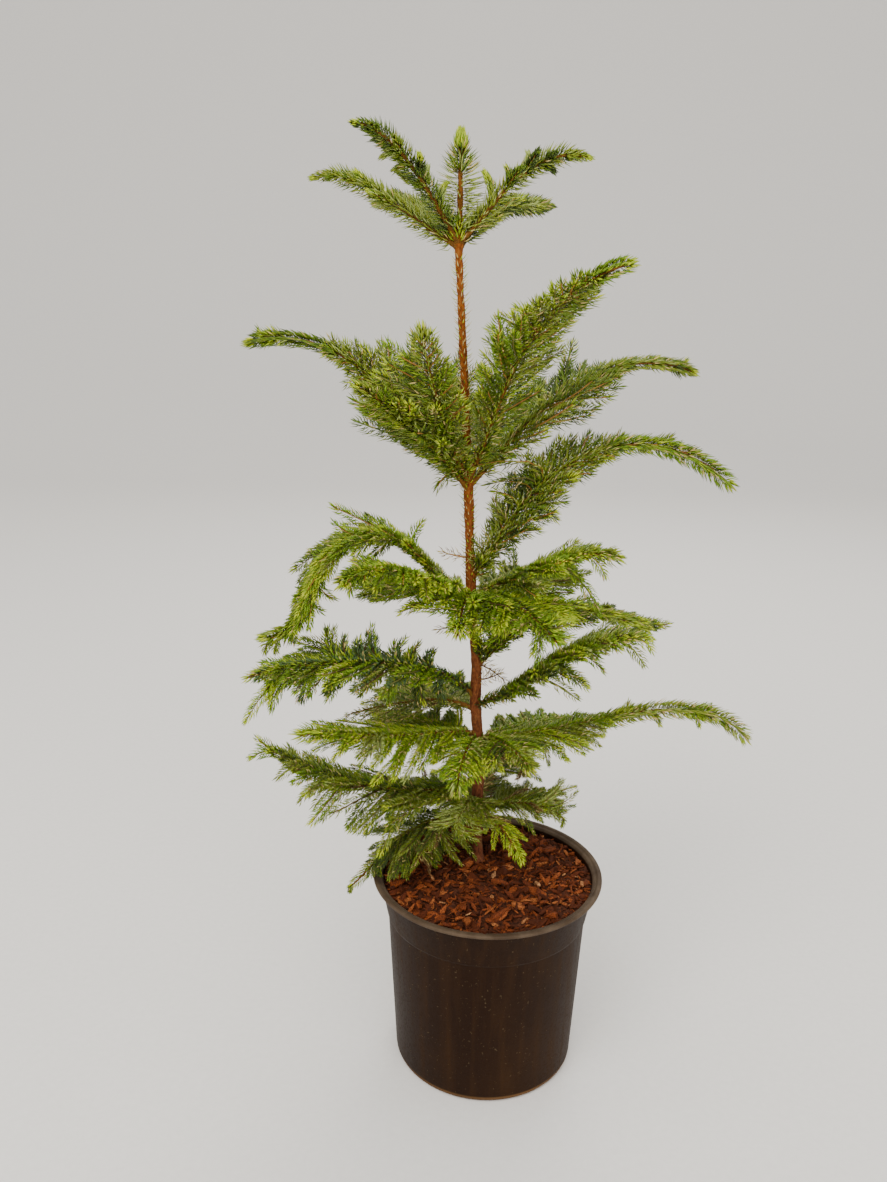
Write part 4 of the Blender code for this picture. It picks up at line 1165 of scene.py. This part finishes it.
def build_pot():
    """The pot: its section turned round the vertical, then the drain holes cut through its floor."""
    lip_inner = POT_LIP_RADIUS - POT_LIP_WIDTH
    lip_foot = POT_HEIGHT - POT_LIP_DEPTH
    # The section's corners, from the middle of the floor out over the lip and back under the floor, and
    # what each but the first and the last is rounded by
    section = (
        (POT_MIDDLE, POT_FLOOR, 0),
        (WALL_FOOT_RADIUS - POT_WALL, POT_FLOOR, 0.003),
        (WALL_TOP_RADIUS - POT_WALL, WALL_TOP, 0.0015),
        (COLLAR_FOOT_RADIUS - POT_WALL, COLLAR_FOOT, 0.0015),
        (COLLAR_RADIUS - POT_WALL, POT_HEIGHT - POT_LIP_DEPTH / 2, 0.003),
        (lip_inner, POT_HEIGHT - 0.001, 0.001),
        (lip_inner + 0.001, POT_HEIGHT, 0.001),
        (POT_LIP_RADIUS, POT_HEIGHT, 0.0022),
        (POT_LIP_RADIUS, lip_foot, 0.0018),
        (COLLAR_RADIUS + 0.0006, lip_foot - 0.0006, 0.0008),
        (COLLAR_FOOT_RADIUS, COLLAR_FOOT, 0.0012),
        (WALL_TOP_RADIUS, WALL_TOP, 0.0012),
        (WALL_FOOT_RADIUS, 0.0, FOOT_ROUND),
        (POT_MIDDLE, 0.0, 0),
    )
    path = rounded([corner[:2] for corner in section], [corner[2] for corner in section[1:-1]])
    points, faces = lathe(path, POT_SEGMENTS)
    pot = add_mesh("pot_shell", points, faces, [pot_finish()])
    turn = full_turn(DRAIN_HOLES) + math.pi / DRAIN_HOLES
    x, y = DRAIN_CIRCLE_RADIUS * np.cos(turn), DRAIN_CIRCLE_RADIUS * np.sin(turn)
    lines = np.stack([np.stack([x, y, np.full_like(x, z)], -1) for z in (-POT_FLOOR, 2 * POT_FLOOR)], 1)
    cutters = tube_points(lines, flat_circle(HOLE_SIDES), np.full((DRAIN_HOLES, 2, 1), DRAIN_HOLE_RADIUS))
    cutter = add_mesh("drain_holes", cutters.reshape(-1, 3), tube_faces(2, HOLE_SIDES, DRAIN_HOLES), [])
    cut = pot.modifiers.new("drain_holes", "BOOLEAN")
    cut.operation = "DIFFERENCE"
    cut.object = cutter
    graph = bpy.context.evaluated_depsgraph_get()
    pot.data = bpy.data.meshes.new_from_object(pot.evaluated_get(graph))
    pot.modifiers.clear()
    bpy.data.objects.remove(cutter)
    pot.data.shade_smooth()
    pot.data.set_sharp_from_angle(angle=math.radians(40))
    settle(pot, "pot_plastic", "pot")


def mulch_height(x, y):
    """The bed's height: level at the wall, and an S curve up to the mound round the trunk's foot."""
    away = np.hypot(x - TRUNK_ROWS[0][1], y - TRUNK_DEPTH)
    rise = smooth_step(1 - away / MOUND_RADIUS)
    return MULCH_EDGE_HEIGHT + (MULCH_MOUND_HEIGHT - MULCH_EDGE_HEIGHT) * rise


def bed_radius():
    """The pot's inner radius at the bed's edge."""
    share = (MULCH_EDGE_HEIGHT - COLLAR_FOOT) / (POT_HEIGHT - POT_LIP_DEPTH / 2 - COLLAR_FOOT)
    return COLLAR_FOOT_RADIUS + share * (COLLAR_RADIUS - COLLAR_FOOT_RADIUS) - POT_WALL


def build_mulch():
    """The bed: rings whose height follows the mound, roughened by ripples of three sizes, and a flat base."""
    rings, segments = 60, 150
    around = flat_circle(segments)
    flat = np.linspace(0.0, bed_radius(), rings)[:, None, None] * around
    skin = flat.copy()
    skin[..., 2] = mulch_height(flat[..., 0], flat[..., 1]) - BED_BELOW_CHIPS
    for depth, wavelength, seed in ((0.0014, 0.013, 11), (0.0008, 0.006, 12), (0.0005, 0.003, 13)):
        skin[..., 2] += depth * ripple(flat, wavelength, seed)
    middle = np.array((0.0, 0.0, BED_BASE_HEIGHT))
    lower = 0.9 * bed_radius() * around + middle
    points = np.concatenate([skin[1:].reshape(-1, 3), lower, skin[0, :1], [middle]])
    made = add_mesh("mulch_bed", points, tube_faces(rings, segments)[:, ::-1], [bed_finish()])
    settle(made, "bark_mulch", "mulch")


def spin(points, angle, first, second):
    """Each row of points turned by its angle, from the first axis towards the second."""
    cos, sin = np.cos(angle)[:, None], np.sin(angle)[:, None]
    turned = points.copy()
    turned[..., first] = points[..., first] * cos - points[..., second] * sin
    turned[..., second] = points[..., first] * sin + points[..., second] * cos
    return turned


def build_chips():
    """Bark chips: flat six-cornered flakes, longer than wide, scattered over the bed and tilted.

    A chip is three rings, the middle one the widest, which bow down towards its ends, and two middles.
    """
    random = np.random.default_rng(SEED + 50)
    count = CHIP_COUNT
    away = bed_radius() * np.sqrt(random.uniform(0.0, 1.0, count))
    turn = random.uniform(0, 2 * math.pi, count)
    long = random.lognormal(math.log(CHIP_USUAL), CHIP_SPREAD, count).clip(CHIP_SHORTEST, CHIP_LONGEST)
    wide = long * random.uniform(0.12, 0.48, count)
    thick = wide * random.uniform(0.20, 0.50, count)
    away = np.minimum(away, bed_radius() - 0.5 * long - 0.0005)
    x, y = away * np.cos(turn), away * np.sin(turn)
    z = mulch_height(x, y) + random.uniform(*CHIP_HEIGHTS, count)
    yaw = random.uniform(0, 2 * math.pi, count)
    pitch = random.normal(0, CHIP_PITCH, count)
    roll = random.normal(0, CHIP_ROLL, count)
    rim = flat_circle(CHIP_CORNERS) * random.uniform(0.70, 1.15, (count, CHIP_CORNERS, 1))
    bow = CHIP_BOW * rim[..., 0] ** 2
    layers = []
    for level, spread in ((1.0, 0.72), (0.25, 1.0), (-1.0, 0.85)):
        layer = rim * spread
        layer[..., 2] = level - bow + random.normal(0, 0.12, bow.shape)
        layers.append(layer)
    middles = np.broadcast_to([(0.0, 0.0, 1.1), (0.0, 0.0, -1.0)], (count, 2, 3))
    points = np.concatenate([*layers, middles], 1) * np.stack([long, wide, thick], -1)[:, None]
    for angle, first, second in ((roll, 1, 2), (pitch, 2, 0), (yaw, 0, 1)):
        points = spin(points, angle, first, second)
    points = (points + np.stack([x, y, z], -1)[:, None]).reshape(-1, 3)
    faces = tube_faces(len(layers), CHIP_CORNERS, count)[:, ::-1]
    made = add_mesh("bark_chips", points, faces, [chip_finish()], False)
    tint = np.clip(random.beta(1.8, 2.3, count), 0, 0.93)
    pale = random.random(count) < PALE_CHIPS
    tint[pale] = random.uniform(0.94, 1.0, int(pale.sum()))
    add_attribute(made, "tint", np.repeat(tint, len(points) // count))
    settle(made, "bark_mulch")


def build_stage():
    """The floor, which turns up into a backdrop on a quarter circle, and the soft lights."""
    turn = np.linspace(0.0, math.pi / 2, 40)
    bend = BACKDROP_BEND * np.stack([np.sin(turn), 1 - np.cos(turn)], 1) + (BACKDROP_START, 0.0)
    top = (BACKDROP_START + BACKDROP_BEND, BACKDROP_HEIGHT)
    profile = np.concatenate([[(FLOOR_START, 0.0)], bend, [top]])
    rows = [[(x, y, z) for x in (-FLOOR_HALF_WIDTH, FLOOR_HALF_WIDTH)] for y, z in profile]
    faces = grid_faces(len(profile), 2, False)
    floor = add_mesh("floor", np.array(rows).reshape(-1, 3), faces, [floor_finish()])
    world = bpy.data.worlds.new("studio")
    world.use_nodes = True
    background = world.node_tree.nodes["Background"]
    background.inputs["Color"].default_value = (*WORLD_COLOUR, 1.0)
    background.inputs["Strength"].default_value = WORLD_STRENGTH
    bpy.context.scene.world = world
    for name, place, size, power, colour in LAMPS:
        light = bpy.data.lights.new(name, "AREA")
        light.shape = "DISK"
        light.size = size
        light.energy = power
        light.color = colour
        lamp = bpy.data.objects.new(name, light)
        lamp.matrix_world = looking(place, np.array(LAMPS_AIM) - place)
        bpy.context.scene.collection.objects.link(lamp)


def looking(place, way, roll=0.0):
    """The place of a lamp or a camera that looks along the way, turned by the roll in radians."""
    forward = unit(np.asarray(way, float))
    right, up = frame_across(forward)
    across = right * math.cos(roll) + up * math.sin(roll)
    over = up * math.cos(roll) - right * math.sin(roll)
    made = Matrix.Identity(4)
    for k in range(3):
        made[k] = (across[k], over[k], -forward[k], place[k])
    return made


def build_camera():
    """The photograph's camera: 36 mm over the photograph's longer side."""
    down = math.radians(CAMERA_DOWN)
    made = bpy.data.cameras.new("camera")
    made.sensor_width = SENSOR
    made.lens = SENSOR * FOCAL_PIXELS / max(PHOTO_SIZE)
    made.clip_start = 0.01
    camera = bpy.data.objects.new("camera", made)
    way = (0.0, math.cos(down), -math.sin(down))
    camera.matrix_world = looking(CAMERA_PLACE, way, math.radians(CAMERA_ROLL))
    bpy.context.scene.collection.objects.link(camera)
    bpy.context.scene.camera = camera


build_camera()
build_stage()
bark = build_trunk()
build_limbs(bark)
build_foliage()
build_pot()
build_mulch()
build_chips()
